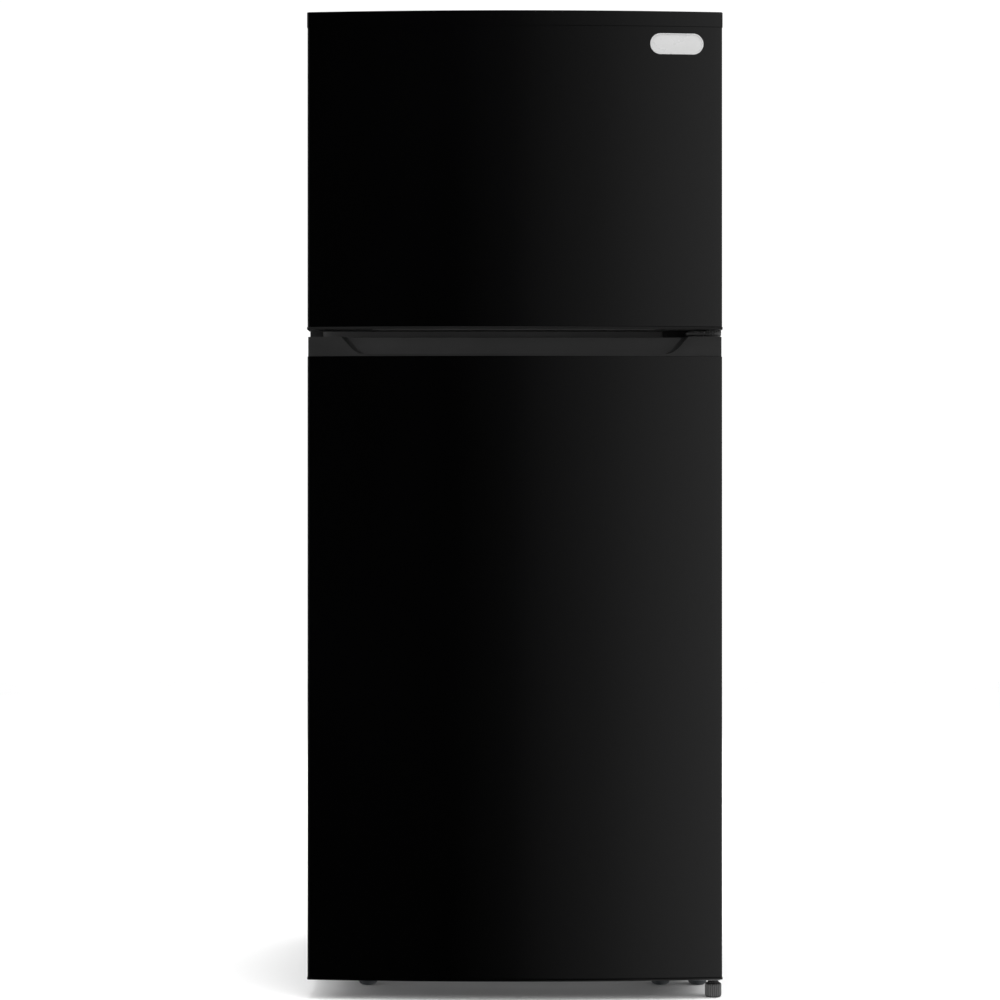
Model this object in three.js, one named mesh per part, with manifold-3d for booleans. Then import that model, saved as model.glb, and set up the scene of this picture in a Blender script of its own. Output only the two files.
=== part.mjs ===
import * as THREE from 'three';
import { mergeVertices } from 'three/addons/utils/BufferGeometryUtils.js';
import Module from 'manifold-3d';

// Top freezer refrigerator, in millimetres with +Z up.
// The doors face -Y, +X is to the viewer's right, and the origin is on the floor under the middle.

const wasm = await Module();
wasm.setup();

// Overall sizes
const width = 700; // across the end caps of the doors
const height = 1662; // floor to the top of the freezer door
const depth = 722; // foremost point of the doors to the back of the rear cover

// Fits
const clear = 0.3; // between pieces that are fastened together or rest on each other
const pinClear = 0.5; // round a pin, an axle or a shaft
const slideClear = 1.5; // beside and under what slides
const doorClear = 6; // from a door's inner ridge to the opening that it enters

// Doors
const doorBow = 18; // how far the middle of a front stands out past its corners
const doorEdge = 57; // thickness at the sides
const doorFloorClear = 33.3; // floor to the fridge door
const doorGap = 12.6; // between the two doors
const freezerDoorHeight = 534;
const cornerCut = 3;
const skinInset = 0.8; // the steel skins stand this far inside the end caps
const sheet = 1; // thickness of the steel skins
const skinLand = 34; // width of the skin's turned-in rear flange
const capWall = 4;
const topCapHeight = 25;
const bottomCapLip = 4; // what shows below a skin
const bottomCapPlug = 22; // what reaches up inside it
const bowSteps = 12;

// Handle recess across the top of the fridge door
const handleCapHeight = 32.8;
const handleInset = 1.8;
const scoopFromSide = 51; // from the side of the door to the mouth's upper corner
const scoopEndSlope = 28; // how far the mouth narrows from top to bottom
const scoopSideSlope = 15; // how far the side walls lean in from mouth to back
const scoopDepth = 40;
const scoopLip = 3.4; // height of the lip under the mouth
const scoopCorner = 14;
const gripInset = 31; // from the mouth's lower corner to the finger pockets behind both lips
const gripWall = 5;
const gripDepth = 16;

// Seals
const gasketDepth = 12; // from the back of a door to the cabinet
const gasketWidth = 22;
const gasketSide = 12; // from the side of a door to its gasket
const gasketMargins = { freezer: { bottom: 10, top: 24 }, fridge: { bottom: 16, top: 10 } };

// Door inner panels and bins
const panel = 2; // thickness of the plastic inner panels and liners
const ridgeWidth = 16;
const ridgeDepth = 32;
const binDepth = 100;
const binWall = 2.5;
const binTopSpace = 60; // over the highest bin
// each door's bins from the lowest up, with their heights
const binSizes = {
  freezer: [['lower', 110], ['upper', 92]],
  fridge: [['lower', 140], ['middle', 110], ['upper', 92]],
};

// Badge
const badgeWidth = 90;
const badgeHeight = 36;
const badgeThickness = 2;
const badgeFromSide = 78;
const badgeFromTop = 55;

// Cabinet
const cabinetInset = 0.5; // the cabinet is this much narrower than the doors, each side
const cabinetFloor = 38;
const topReveal = 12; // the freezer door stands this far above the cabinet
const flange = 22; // front flange of the outer sheet
const rearBulge = 16; // how far the rear cover stands out
const freezerWall = 59.5; // side insulation with both skins
const fridgeWall = 52.5;
const freezerBack = 110; // freezer back wall to the back of the cabinet
const fridgeBack = 100;
const roof = 60;
const floorThickness = 74;
const linerFlange = 20; // overlap of each liner on the strip between the doors
const mullionUnder = 45.4; // top of the fridge door to the top of the opening below it
const mullionOver = 37; // bottom of the freezer door to the opening above it

// Machine space, low at the back
const machineDepth = 230;
const machineHeight = 217;
const machineInsulation = 44; // between the machine space and the fridge liner
const baseThickness = 3;

// Hinges
const hingeFromSide = 14; // from the side of a door to its axis
const hingeSetback = 27; // from the corners of a door to its axis
const hingePin = 4; // radius
const hingeArm = 11; // half width of the top hinge's arm
const hingePlate = 4;
const bushRadius = 12.5;
const footPin = 7; // radius of the hollow bottom pin that the leg screws into

// Feet
const legRadius = 14;
const legHeight = 24;
const legStem = 4;
const domeRadius = 16.5;
const footFromSide = 96;
const hingeFootFromAxis = 18;
const footSetback = 137; // from the corners of the doors
const rollerRadius = 17.8;
const rollerWidth = 20;
const rollerFromSide = 50;
const rollerFromRear = 55;
const axleRadius = 4;

// Inside
const shelfSetback = 104; // from the cabinet front to the shelves
const fridgeShelves = ['lower', 'upper'];
const glass = 4;
const trimRim = 9;
const trimHeight = 14;
const ledge = 8; // liner ledges that carry the shelves
const wire = 3; // radius of the shelf's rims; the cross wires are half as thick
const crisperHeadroom = 11; // under the ledge that carries the crisper cover
const crisperWall = 2.5;
const coverDepth = 57; // evaporator cover to the freezer's back wall
const fanRadius = 50;
const fanFromTop = 108;

// Faces and levels that several pieces share
const frontY = -depth / 2;
const cornerY = frontY + doorBow;
const doorRearY = cornerY + doorEdge;
const cabinetFrontY = doorRearY + gasketDepth;
const cabinetRearY = depth / 2 - rearBulge;
const bowRadius = ((width / 2) ** 2 + doorBow ** 2) / (2 * doorBow);
const bowCentreY = frontY + bowRadius;
const hingeY = cornerY + hingeSetback;
const cabinetHalf = width / 2 - cabinetInset;
const cabinetTop = height - topReveal;
const freezerDoorBottom = height - freezerDoorHeight;
const fridgeDoorTop = freezerDoorBottom - doorGap;
const fridgeDoorHeight = fridgeDoorTop - doorFloorClear;
const windowHalf = cabinetHalf - flange;
const hingeX = width / 2 - hingeFromSide;
const scoopHalfTop = width / 2 - scoopFromSide;
const scoopHalfBottom = scoopHalfTop - scoopEndSlope;
const gripHalf = scoopHalfBottom - gripInset;
const badgeX = width / 2 - badgeFromSide;
const footX = width / 2 - footFromSide;
const rollerX = width / 2 - rollerFromSide;
const machineFrontY = cabinetRearY - machineDepth;
const machineTop = cabinetFloor + machineHeight;
const footY = cornerY + footSetback;
const shelfFrontY = cabinetFrontY + shelfSetback;
const freezerSpace = {
  half: cabinetHalf - freezerWall,
  bottom: freezerDoorBottom + mullionOver,
  top: cabinetTop - roof,
  rear: cabinetRearY - freezerBack,
};
const fridgeSpace = {
  half: cabinetHalf - fridgeWall,
  bottom: cabinetFloor + floorThickness,
  top: fridgeDoorTop - mullionUnder,
  rear: cabinetRearY - fridgeBack,
  stepY: machineFrontY - machineInsulation,
  stepTop: machineTop + machineInsulation,
};
const binHalf = freezerSpace.half - doorClear - ridgeWidth - clear;
const evaporatorCoverY = freezerSpace.rear - coverDepth;
const fanHeight = freezerSpace.top - fanFromTop;
const freezerShelfHeight = (freezerSpace.bottom + freezerSpace.top) / 2;
const crisperTop = fridgeSpace.stepTop - crisperHeadroom;
const crisperCoverTop = fridgeSpace.stepTop + clear + trimHeight;
const shelfPitch = (fridgeSpace.top - crisperCoverTop) / (fridgeShelves.length + 1);
const shelfLevels = fridgeShelves.map((_, i) => crisperCoverTop + (i + 1) * shelfPitch);

const finishes = {
  blackSteel: { color: 0x0b0b0d, roughness: 0.2, metalness: 0.4 },
  darkPlastic: { color: 0x2a2a2b, roughness: 0.55, metalness: 0 },
  cabinetSteel: { color: 0x1d1d1f, roughness: 0.5, metalness: 0.3 },
  whitePlastic: { color: 0xeeeff0, roughness: 0.4, metalness: 0 },
  foam: { color: 0xd9c88f, roughness: 0.9, metalness: 0 },
  seal: { color: 0x3a3a3c, roughness: 0.8, metalness: 0 },
  bareSteel: { color: 0xa9acae, roughness: 0.4, metalness: 0.9 },
  badge: { color: 0xdcdcdc, roughness: 0.35, metalness: 0.6 },
  clearPlastic: { color: 0xcfdde2, roughness: 0.15, metalness: 0 },
  glassPlate: { color: 0xbcd2cd, roughness: 0.05, metalness: 0 },
  slateRubber: { color: 0x34393c, roughness: 0.7, metalness: 0 },
  greyPlastic: { color: 0x55595e, roughness: 0.6, metalness: 0 },
  compressorPaint: { color: 0x141414, roughness: 0.4, metalness: 0.3 },
  coilMetal: { color: 0xb9bbbc, roughness: 0.35, metalness: 0.9 },
};

// Solids

function toSolid(geometry) {
  geometry.deleteAttribute('normal');
  geometry.deleteAttribute('uv');
  const merged = mergeVertices(geometry, 1e-4);
  const corners = merged.index.array;
  const triangles = [];
  for (let i = 0; i < corners.length; i += 3) {
    const [a, b, c] = corners.slice(i, i + 3);
    // a lathe's triangles at the axis have no area
    if (a !== b && b !== c && c !== a) triangles.push(a, b, c);
  }
  return new wasm.Manifold(new wasm.Mesh({
    numProp: 3,
    vertProperties: new Float32Array(merged.attributes.position.array),
    triVerts: new Uint32Array(triangles),
  }));
}

function toGeometry(solid) {
  const mesh = solid.getMesh();
  const geometry = new THREE.BufferGeometry();
  geometry.setAttribute('position', new THREE.BufferAttribute(mesh.vertProperties, 3));
  geometry.setIndex(new THREE.BufferAttribute(mesh.triVerts, 1));
  geometry.computeVertexNormals();
  return geometry;
}

function box(x0, x1, y0, y1, z0, z1) {
  const geometry = new THREE.BoxGeometry(x1 - x0, y1 - y0, z1 - z0);
  geometry.translate((x0 + x1) / 2, (y0 + y1) / 2, (z0 + z1) / 2);
  return toSolid(geometry);
}

// Extrudes an outline along an axis. It is drawn in (x, y), (y, z) or (x, z) for 'z', 'x' or 'y'.
function prism(outline, axis, from, to, steps = 6) {
  const shape = Array.isArray(outline)
    ? new THREE.Shape(outline.map(([u, v]) => new THREE.Vector2(u, v)))
    : outline;
  const options = { depth: to - from, bevelEnabled: false, curveSegments: steps };
  const geometry = new THREE.ExtrudeGeometry(shape, options);
  const x = new THREE.Vector3(1, 0, 0);
  const y = new THREE.Vector3(0, 1, 0);
  const z = new THREE.Vector3(0, 0, 1);
  const turns = {
    x: new THREE.Matrix4().makeBasis(y, z, x).setPosition(from, 0, 0),
    y: new THREE.Matrix4().makeBasis(x, z, y.clone().negate()).setPosition(0, to, 0),
    z: new THREE.Matrix4().setPosition(0, 0, from),
  };
  return toSolid(geometry.applyMatrix4(turns[axis]));
}

// A round bar along an axis. Its centre is given by the other two coordinates, in order.
function rod(axis, radius, from, to, u = 0, v = 0, sides = 20) {
  const geometry = new THREE.CylinderGeometry(radius, radius, to - from, sides);
  const middle = (from + to) / 2;
  if (axis === 'x') geometry.rotateZ(Math.PI / 2).translate(middle, u, v);
  if (axis === 'y') geometry.translate(u, middle, v);
  if (axis === 'z') geometry.rotateX(Math.PI / 2).translate(u, v, middle);
  return toSolid(geometry);
}

// Turns a profile of [radius, z] points, lowest first, about the Z axis.
function turned(profile, sides = 20) {
  const points = profile.map(([radius, z]) => new THREE.Vector2(radius, z));
  return toSolid(new THREE.LatheGeometry(points, sides).rotateX(Math.PI / 2));
}

function joined(solids) {
  return solids.reduce((sum, solid) => sum.add(solid));
}

// Evenly spaced values from first to last.
function spread(first, last, count) {
  return Array.from({ length: count }, (_, i) => first + (last - first) * i / (count - 1));
}

const refrigerator = new THREE.Group();
const freezerDoor = new THREE.Group();
const fridgeDoor = new THREE.Group();
freezerDoor.position.z = freezerDoorBottom;
fridgeDoor.position.z = doorFloorClear;
refrigerator.add(freezerDoor, fridgeDoor);

function addPiece(name, solid, finish, parent = refrigerator, place = [0, 0, 0]) {
  const mesh = new THREE.Mesh(toGeometry(solid), new THREE.MeshStandardMaterial(finish));
  mesh.name = name;
  mesh.position.set(...place);
  parent.add(mesh);
  return mesh;
}

// Doors. Each is drawn with its own bottom at z = 0.

// The plan of a door with its bowed front, drawn in from the outside by an inset.
function doorPlan(inset, rearY) {
  const half = width / 2 - inset;
  const radius = bowRadius - inset;
  const tilt = Math.asin((half - cornerCut) / radius);
  const sideY = bowCentreY - radius * Math.cos(tilt) + cornerCut;
  const shape = new THREE.Shape();
  shape.moveTo(-half, rearY);
  shape.lineTo(-half, sideY);
  shape.absarc(0, bowCentreY, radius, -Math.PI / 2 - tilt, -Math.PI / 2 + tilt, false);
  shape.lineTo(half, sideY);
  shape.lineTo(half, rearY);
  return shape;
}

function doorBlock(inset, rearY, z0, z1) {
  return prism(doorPlan(inset, rearY), 'z', z0, z1, bowSteps);
}

function doorSkin(z0, z1) {
  const inner = doorBlock(skinInset + sheet, doorRearY - sheet, z0 - 1, z1 + 1);
  const half = width / 2 - skinLand;
  const mouth = box(-half, half, doorRearY - 2 * sheet, doorRearY + 1, z0 - 1, z1 + 1);
  return doorBlock(skinInset, doorRearY, z0, z1).subtract(inner).subtract(mouth);
}

const plugInset = skinInset + sheet + clear;
const plugRearY = doorRearY - sheet - clear;

function doorFoam(z0, z1) {
  return doorBlock(plugInset, plugRearY, z0, z1);
}

function doorGasket(doorHeight, margins) {
  const outer = width / 2 - gasketSide;
  const inner = outer - gasketWidth;
  const y0 = doorRearY + clear;
  const y1 = cabinetFrontY - clear;
  const top = doorHeight - margins.top;
  const ring = box(-outer, outer, y0, y1, margins.bottom, top);
  const z0 = margins.bottom + gasketWidth;
  return ring.subtract(box(-inner, inner, y0 - 1, y1 + 1, z0, top - gasketWidth));
}

// The inner panel carries a ridge that stands just inside the cabinet's opening.
function doorPanel(doorHeight, margins, ridgeHalf, ridgeBottom, ridgeTop) {
  const half = width / 2 - gasketSide - gasketWidth - clear;
  const z0 = margins.bottom + gasketWidth + clear;
  const z1 = doorHeight - margins.top - gasketWidth - clear;
  const plate = box(-half, half, doorRearY, doorRearY + panel, z0, z1);
  const rearY = doorRearY + panel + ridgeDepth;
  const outer = box(-ridgeHalf, ridgeHalf, doorRearY, rearY, ridgeBottom, ridgeTop);
  const inside = ridgeHalf - ridgeWidth;
  const hollowY = doorRearY + panel;
  const low = ridgeBottom + ridgeWidth;
  const high = ridgeTop - ridgeWidth;
  return plate.add(outer).subtract(box(-inside, inside, hollowY, rearY + 1, low, high));
}

function doorBin(tall) {
  const y0 = doorRearY + panel + clear;
  const y1 = y0 + binDepth;
  const outer = box(-binHalf, binHalf, y0, y1, 0, tall);
  const half = binHalf - binWall;
  return outer.subtract(box(-half, half, y0 + binWall, y1 - binWall, binWall, tall + 1));
}

// A bottom end cap: a lip under the skin and a plug inside it, bored for the hinge pin.
function bottomCap(pinRadius) {
  const lip = doorBlock(0, doorRearY, 0, bottomCapLip);
  const plugTop = bottomCapLip + bottomCapPlug;
  const plug = doorBlock(plugInset, plugRearY, bottomCapLip / 2, plugTop);
  const hollowFront = frontY + scoopDepth + capWall;
  const hollowRear = plugRearY - capWall;
  const hollowHalf = hingeX - 2 * hingePin - 4 * capWall;
  const hollow = box(-hollowHalf, hollowHalf, hollowFront, hollowRear, capWall, plugTop + 1);
  const bore = rod('z', pinRadius + pinClear, -1, bottomCapPlug, hingeX, hingeY);
  return lip.add(plug).subtract(hollow).subtract(bore);
}

// The space that fingers reach into behind a lip.
function gripSpace(z0, z1) {
  const curve = doorBlock(gripWall, doorRearY, z0, z1);
  const rearY = frontY + scoopDepth - capWall;
  return curve.intersect(box(-gripHalf, gripHalf, frontY - 1, rearY, z0, z1));
}

function topCap() {
  const top = freezerDoorHeight;
  const bottom = top - topCapHeight;
  const hingeEnd = hingeX - hingeArm - capWall;
  const keep = box(hingeEnd, width, frontY, doorRearY, bottom - 2, top);
  const hollow = doorBlock(capWall, doorRearY - capWall, bottom - 1, top - capWall).subtract(keep);
  const pocketFloor = cabinetTop - freezerDoorBottom - 2 * clear;
  const pocketFront = cornerY + capWall + 1.5;
  const pocketLeft = hingeX - hingeArm - slideClear;
  const pocket = box(pocketLeft, width, pocketFront, doorRearY + 1, pocketFloor, top + 1);
  const bore = rod('z', hingePin + pinClear, bottom + 2, pocketFloor + 1, hingeX, hingeY);
  return doorBlock(0, doorRearY, bottom, top).subtract(hollow).subtract(pocket).subtract(bore);
}

// The trapezoid recess narrows towards its bottom and towards its back.
function scoop(grow, bottom, top) {
  const backY = frontY + scoopDepth + grow;
  const halfTop = scoopHalfTop + grow;
  const halfBottom = scoopHalfBottom + grow;
  const slope = (halfTop - halfBottom) / (top - bottom);
  const outline = new THREE.Shape();
  outline.moveTo(0, bottom);
  outline.lineTo(halfBottom - scoopCorner, bottom);
  outline.quadraticCurveTo(
    halfBottom, bottom, halfBottom + scoopCorner * slope, bottom + scoopCorner,
  );
  outline.lineTo(halfTop, top);
  outline.lineTo(-halfTop, top);
  outline.lineTo(-halfBottom - scoopCorner * slope, bottom + scoopCorner);
  outline.quadraticCurveTo(-halfBottom, bottom, scoopCorner - halfBottom, bottom);
  const span = scoopDepth + grow + 1;
  const lean = scoopSideSlope / scoopHalfTop;
  return prism(outline, 'y', frontY - 1, backY).warp((corner) => {
    corner[0] *= 1 - lean * (corner[1] - frontY + 1) / span;
  });
}

function handleCap() {
  const top = fridgeDoorHeight;
  const bottom = top - handleCapHeight;
  const lipTop = bottom + scoopLip;
  const gripFloor = lipTop - gripDepth;
  const tubRear = frontY + scoopDepth;
  const tubHalf = gripHalf + capWall;
  const tubBottom = gripFloor - capWall;
  const tubBox = box(-tubHalf, tubHalf, frontY - 1, tubRear, tubBottom, bottom + 1);
  const tub = doorBlock(plugInset, plugRearY, tubBottom, bottom + 1).intersect(tubBox);
  const hingeEnd = box(hingeX - 4 * hingePin, width, frontY, doorRearY, bottom - 2, top);
  const hollow = doorBlock(handleInset + capWall, doorRearY - capWall, bottom - 1, top - capWall)
    .subtract(scoop(capWall, bottom - 2, top + 1))
    .subtract(hingeEnd);
  const bore = rod('z', hingePin + pinClear, bottom + 2, top + 1, hingeX, hingeY);
  return doorBlock(handleInset, doorRearY, bottom, top)
    .add(tub)
    .subtract(hollow)
    .subtract(scoop(0, lipTop, top + 1))
    .subtract(gripSpace(gripFloor, lipTop + 1))
    .subtract(bore);
}

function badge() {
  const reach = (badgeWidth - badgeHeight) / 2;
  const pill = new THREE.Shape();
  pill.absarc(reach, 0, badgeHeight / 2, -Math.PI / 2, Math.PI / 2, false);
  pill.absarc(-reach, 0, badgeHeight / 2, Math.PI / 2, 3 * Math.PI / 2, false);
  return prism(pill, 'y', -badgeThickness - clear, -clear, 10);
}

function addDoor(name, group, doorHeight, space, bins) {
  const margins = gasketMargins[name];
  const base = group.position.z;
  const ridgeBottom = space.bottom + doorClear - base;
  const ridgeTop = space.top - doorClear - base;
  const ridge = doorPanel(doorHeight, margins, space.half - doorClear, ridgeBottom, ridgeTop);
  addPiece(`${name}_door_liner`, ridge, finishes.whitePlastic, group);
  addPiece(`${name}_door_gasket`, doorGasket(doorHeight, margins), finishes.seal, group);
  const lowest = ridgeBottom + ridgeWidth + clear;
  const highest = ridgeTop - ridgeWidth - binTopSpace - bins[bins.length - 1][1];
  const levels = spread(lowest, highest, bins.length);
  bins.forEach(([place, tall], i) => {
    const title = `${name}_door_bin_${place}`;
    addPiece(title, doorBin(tall), finishes.clearPlastic, group, [0, 0, levels[i]]);
  });
}

const plugEnd = bottomCapLip + bottomCapPlug + clear;
const skinStart = bottomCapLip + clear;

const freezerSkinTop = freezerDoorHeight - topCapHeight - clear;
addPiece('freezer_door_skin', doorSkin(skinStart, freezerSkinTop), finishes.blackSteel, freezerDoor);
addPiece('freezer_door_top_cap', topCap(), finishes.darkPlastic, freezerDoor);
const freezerBottomCap = bottomCap(hingePin).subtract(gripSpace(-1, gripDepth));
addPiece('freezer_door_bottom_cap', freezerBottomCap, finishes.darkPlastic, freezerDoor);
const freezerFoam = doorFoam(plugEnd, freezerSkinTop);
addPiece('freezer_door_insulation', freezerFoam, finishes.foam, freezerDoor);
addDoor('freezer', freezerDoor, freezerDoorHeight, freezerSpace, binSizes.freezer);

const badgeTilt = Math.asin(badgeX / bowRadius);
const badgeFaceY = bowCentreY - (bowRadius - skinInset) * Math.cos(badgeTilt);
const badgePlace = [badgeX, badgeFaceY, freezerDoorHeight - badgeFromTop];
addPiece('badge', badge(), finishes.badge, freezerDoor, badgePlace).rotation.z = badgeTilt;

const fridgeSkinTop = fridgeDoorHeight - handleCapHeight - clear;
addPiece('fridge_door_skin', doorSkin(skinStart, fridgeSkinTop), finishes.blackSteel, fridgeDoor);
addPiece('fridge_door_handle_cap', handleCap(), finishes.darkPlastic, fridgeDoor);
addPiece('fridge_door_bottom_cap', bottomCap(footPin), finishes.darkPlastic, fridgeDoor);
const fridgeFoamTop = fridgeDoorHeight - handleCapHeight + scoopLip - gripDepth - capWall - clear;
addPiece('fridge_door_insulation', doorFoam(plugEnd, fridgeFoamTop), finishes.foam, fridgeDoor);
addDoor('fridge', fridgeDoor, fridgeDoorHeight, fridgeSpace, binSizes.fridge);

// Cabinet

const shellRearY = cabinetRearY - sheet - clear;
const inside = cabinetHalf - sheet;

// The outer sheet is one bent piece: two sides, the top, and a flange round the front.
function cabinetShell() {
  const outer = box(-cabinetHalf, cabinetHalf, cabinetFrontY, shellRearY, cabinetFloor, cabinetTop);
  const frontY1 = cabinetFrontY + sheet;
  const below = cabinetFloor - 1;
  const hollow = box(-inside, inside, frontY1, shellRearY + 1, below, cabinetTop - sheet);
  const windowBottom = cabinetFloor + flange;
  const windowTop = cabinetTop - flange;
  const y0 = cabinetFrontY - 1;
  const opening = box(-windowHalf, windowHalf, y0, frontY1 + 1, windowBottom, windowTop);
  return outer.subtract(hollow).subtract(opening);
}

function bottomPanel() {
  const half = inside - clear;
  const y0 = cabinetFrontY + sheet + clear;
  const y1 = shellRearY;
  const riserY = machineFrontY;
  const outline = [
    [y0, cabinetFloor], [riserY, cabinetFloor], [riserY, machineTop - sheet],
    [y1, machineTop - sheet], [y1, machineTop], [riserY - sheet, machineTop],
    [riserY - sheet, cabinetFloor + sheet], [y0, cabinetFloor + sheet],
  ];
  return prism(outline, 'x', -half, half);
}

// The side view of a food space, grown outwards. The fridge's floor steps up over the machine space.
function spaceOutline(space, grow, openY) {
  const bottom = space.bottom - grow;
  const rear = space.rear + grow;
  const floorLine = space.stepY
    ? [[openY, bottom], [space.stepY + grow, bottom],
      [space.stepY + grow, space.stepTop - grow], [rear, space.stepTop - grow]]
    : [[openY, bottom], [rear, bottom]];
  return [...floorLine, [rear, space.top + grow], [openY, space.top + grow]];
}

function spaceBlock(space, grow, openY) {
  const half = space.half + grow;
  return prism(spaceOutline(space, grow, openY), 'x', -half, half);
}

function liner(space, flangeBottom, flangeTop) {
  const tub = spaceBlock(space, panel, cabinetFrontY);
  const half = windowHalf - clear;
  const rim = box(-half, half, cabinetFrontY, cabinetFrontY + panel, flangeBottom, flangeTop);
  return tub.add(rim).subtract(spaceBlock(space, 0, cabinetFrontY - 1));
}

// A rail on each side wall under a shelf.
function ledges(space, z1, y0, y1) {
  const inner = space.half - ledge;
  const outer = space.half + panel / 2;
  const right = box(inner, outer, y0, y1, z1 - ledge, z1);
  return right.add(box(-outer, -inner, y0, y1, z1 - ledge, z1));
}

function cabinetFoam() {
  const half = inside - clear;
  const y0 = cabinetFrontY + panel + clear;
  const y1 = shellRearY;
  const top = cabinetTop - sheet - clear;
  const block = box(-half, half, y0, y1, cabinetFloor + sheet + clear, top);
  const machineY = machineFrontY - sheet - clear;
  const machine = box(-width, width, machineY, depth, 0, machineTop + clear);
  const gap = panel + clear;
  return block
    .subtract(machine)
    .subtract(spaceBlock(freezerSpace, gap, y0 - 1))
    .subtract(spaceBlock(fridgeSpace, gap, y0 - 1));
}

const shelfRearY = fridgeSpace.rear - 18;
const freezerShelfRearY = evaporatorCoverY - 8;
const stripBottom = fridgeSpace.top + linerFlange;
const stripTop = freezerSpace.bottom - linerFlange;

addPiece('cabinet_shell', cabinetShell(), finishes.cabinetSteel);
const backPanel = box(
  -cabinetHalf, cabinetHalf, cabinetRearY - sheet, cabinetRearY, machineTop - sheet, cabinetTop,
);
addPiece('back_panel', backPanel, finishes.cabinetSteel);
addPiece('bottom_panel', bottomPanel(), finishes.bareSteel);
addPiece('cabinet_insulation', cabinetFoam(), finishes.foam);

const freezerLedgeTop = freezerShelfHeight - wire - clear;
const freezerLiner = liner(freezerSpace, stripTop + clear, cabinetTop - flange - clear)
  .add(ledges(freezerSpace, freezerLedgeTop, shelfFrontY, freezerShelfRearY));
addPiece('freezer_liner', freezerLiner, finishes.whitePlastic);

const fridgeLedges = shelfLevels
  .map((level) => ledges(fridgeSpace, level - trimHeight - clear, shelfFrontY, shelfRearY));
const crisperLedge = ledges(fridgeSpace, fridgeSpace.stepTop, shelfFrontY, fridgeSpace.stepY);
const fridgeLiner = joined([
  liner(fridgeSpace, cabinetFloor + flange + clear, stripBottom - clear),
  ...fridgeLedges,
  crisperLedge,
]);
addPiece('fridge_liner', fridgeLiner, finishes.whitePlastic);

const stripHalf = windowHalf - clear;
const mullionStrip = box(
  -stripHalf, stripHalf, cabinetFrontY, cabinetFrontY + panel, stripBottom, stripTop,
);
addPiece('mullion_strip', mullionStrip, finishes.cabinetSteel);

// Hinges. All three share one axis.

function hingeTab(halfWidth, x0, y1, z0, z1) {
  const plate = box(x0, hingeX + halfWidth, hingeY, y1, z0, z1);
  const arm = box(hingeX - halfWidth, hingeX + halfWidth, hingeY, y1, z0, z1);
  return plate.intersect(arm).add(rod('z', halfWidth, z0, z1, hingeX, hingeY));
}

function topHinge() {
  const z0 = cabinetTop + clear;
  const z1 = z0 + hingePlate - 1;
  const plateRear = cabinetFrontY + 80;
  const plate = box(hingeX - 74, cabinetHalf - 3, cabinetFrontY + 2, plateRear, z0, z1);
  const pinBottom = freezerDoorBottom + freezerDoorHeight - topCapHeight + 3;
  const pin = rod('z', hingePin, pinBottom, z1, hingeX, hingeY);
  return plate.add(hingeTab(hingeArm, hingeX - hingeArm, plateRear, z0, z1)).add(pin);
}

function topHingeCover() {
  const x0 = hingeX - 80;
  const x1 = cabinetHalf - clear;
  const y0 = cabinetFrontY + clear;
  const y1 = cabinetFrontY + 90;
  const z0 = cabinetTop + clear;
  const z1 = height - clear;
  const wall = panel - clear;
  const hollow = box(x0 + wall, x1 - wall, y0 - 1, y1 - wall, z0 - 1, z1 - wall);
  return box(x0, x1, y0, y1, z0, z1).subtract(hollow);
}

function middleHinge() {
  const middle = (fridgeDoorTop + freezerDoorBottom) / 2;
  const z0 = middle - hingePlate / 2;
  const z1 = middle + hingePlate / 2;
  const plateLeft = hingeX - 46;
  const rearY = cabinetFrontY - clear;
  const tab = box(plateLeft, hingeX, hingeY - bushRadius + 4, rearY, z0, z1);
  const tail = box(plateLeft, windowHalf, rearY - 2, rearY, middle - 13, middle + 13);
  const bush = rod('z', bushRadius, fridgeDoorTop + clear, freezerDoorBottom - clear, hingeX, hingeY);
  const tip = rod('z', hingeFromSide - cabinetInset, z0, z1, hingeX, hingeY);
  const reach = bottomCapPlug / 2 + 2;
  const pin = rod('z', hingePin, fridgeDoorTop - reach, freezerDoorBottom + reach, hingeX, hingeY);
  return joined([tab, tip, tail, bush, pin]);
}

function bottomHinge() {
  const z1 = doorFloorClear - 2 * clear;
  const z0 = z1 - hingePlate + 0.5;
  const x0 = hingeX - 43;
  const x1 = hingeX + hingeArm;
  const tab = box(x0, x1, hingeY - hingeArm, footY + domeRadius, z0, z1);
  const step = box(x0, x1, cabinetFrontY, footY + domeRadius, z0, cabinetFloor - clear);
  const pin = rod('z', footPin, z0, z1 + bottomCapPlug - 4, hingeX, hingeY);
  const bore = rod('z', legStem + pinClear, z0 - 1, cabinetTop, hingeX, hingeY);
  return joined([tab, step, pin]).subtract(bore);
}

const hingePlateBottom = doorFloorClear - 2 * clear - hingePlate + 0.5;
addPiece('top_hinge', topHinge(), finishes.bareSteel);
addPiece('top_hinge_cover', topHingeCover(), finishes.darkPlastic);
addPiece('middle_hinge', middleHinge(), finishes.bareSteel);
addPiece('bottom_hinge', bottomHinge(), finishes.bareSteel);

// Feet and rollers

// A glide with a domed tread and a stem up to what it is fixed under.
function dome(tall) {
  return turned([
    [0, 0], [domeRadius * 0.6, 0], [domeRadius * 0.9, 2.5], [domeRadius, 7], [domeRadius, 12],
    [domeRadius * 0.55, 15], [domeRadius * 0.55, tall], [0, tall],
  ]);
}

// The levelling leg stands on a broad foot, and its stem screws up into the bottom hinge's pin.
function levelingLeg() {
  const collarTop = hingePlateBottom - clear;
  const stemTop = doorFloorClear + bottomCapPlug / 2;
  return turned([
    [0, 0], [legRadius - 2, 0], [legRadius, 2], [legRadius, legHeight - 2],
    [legRadius - 2, legHeight], [legRadius * 0.6, legHeight], [legRadius * 0.6, collarTop],
    [legStem, collarTop], [legStem, stemTop], [0, stemTop],
  ], 24);
}

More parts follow.
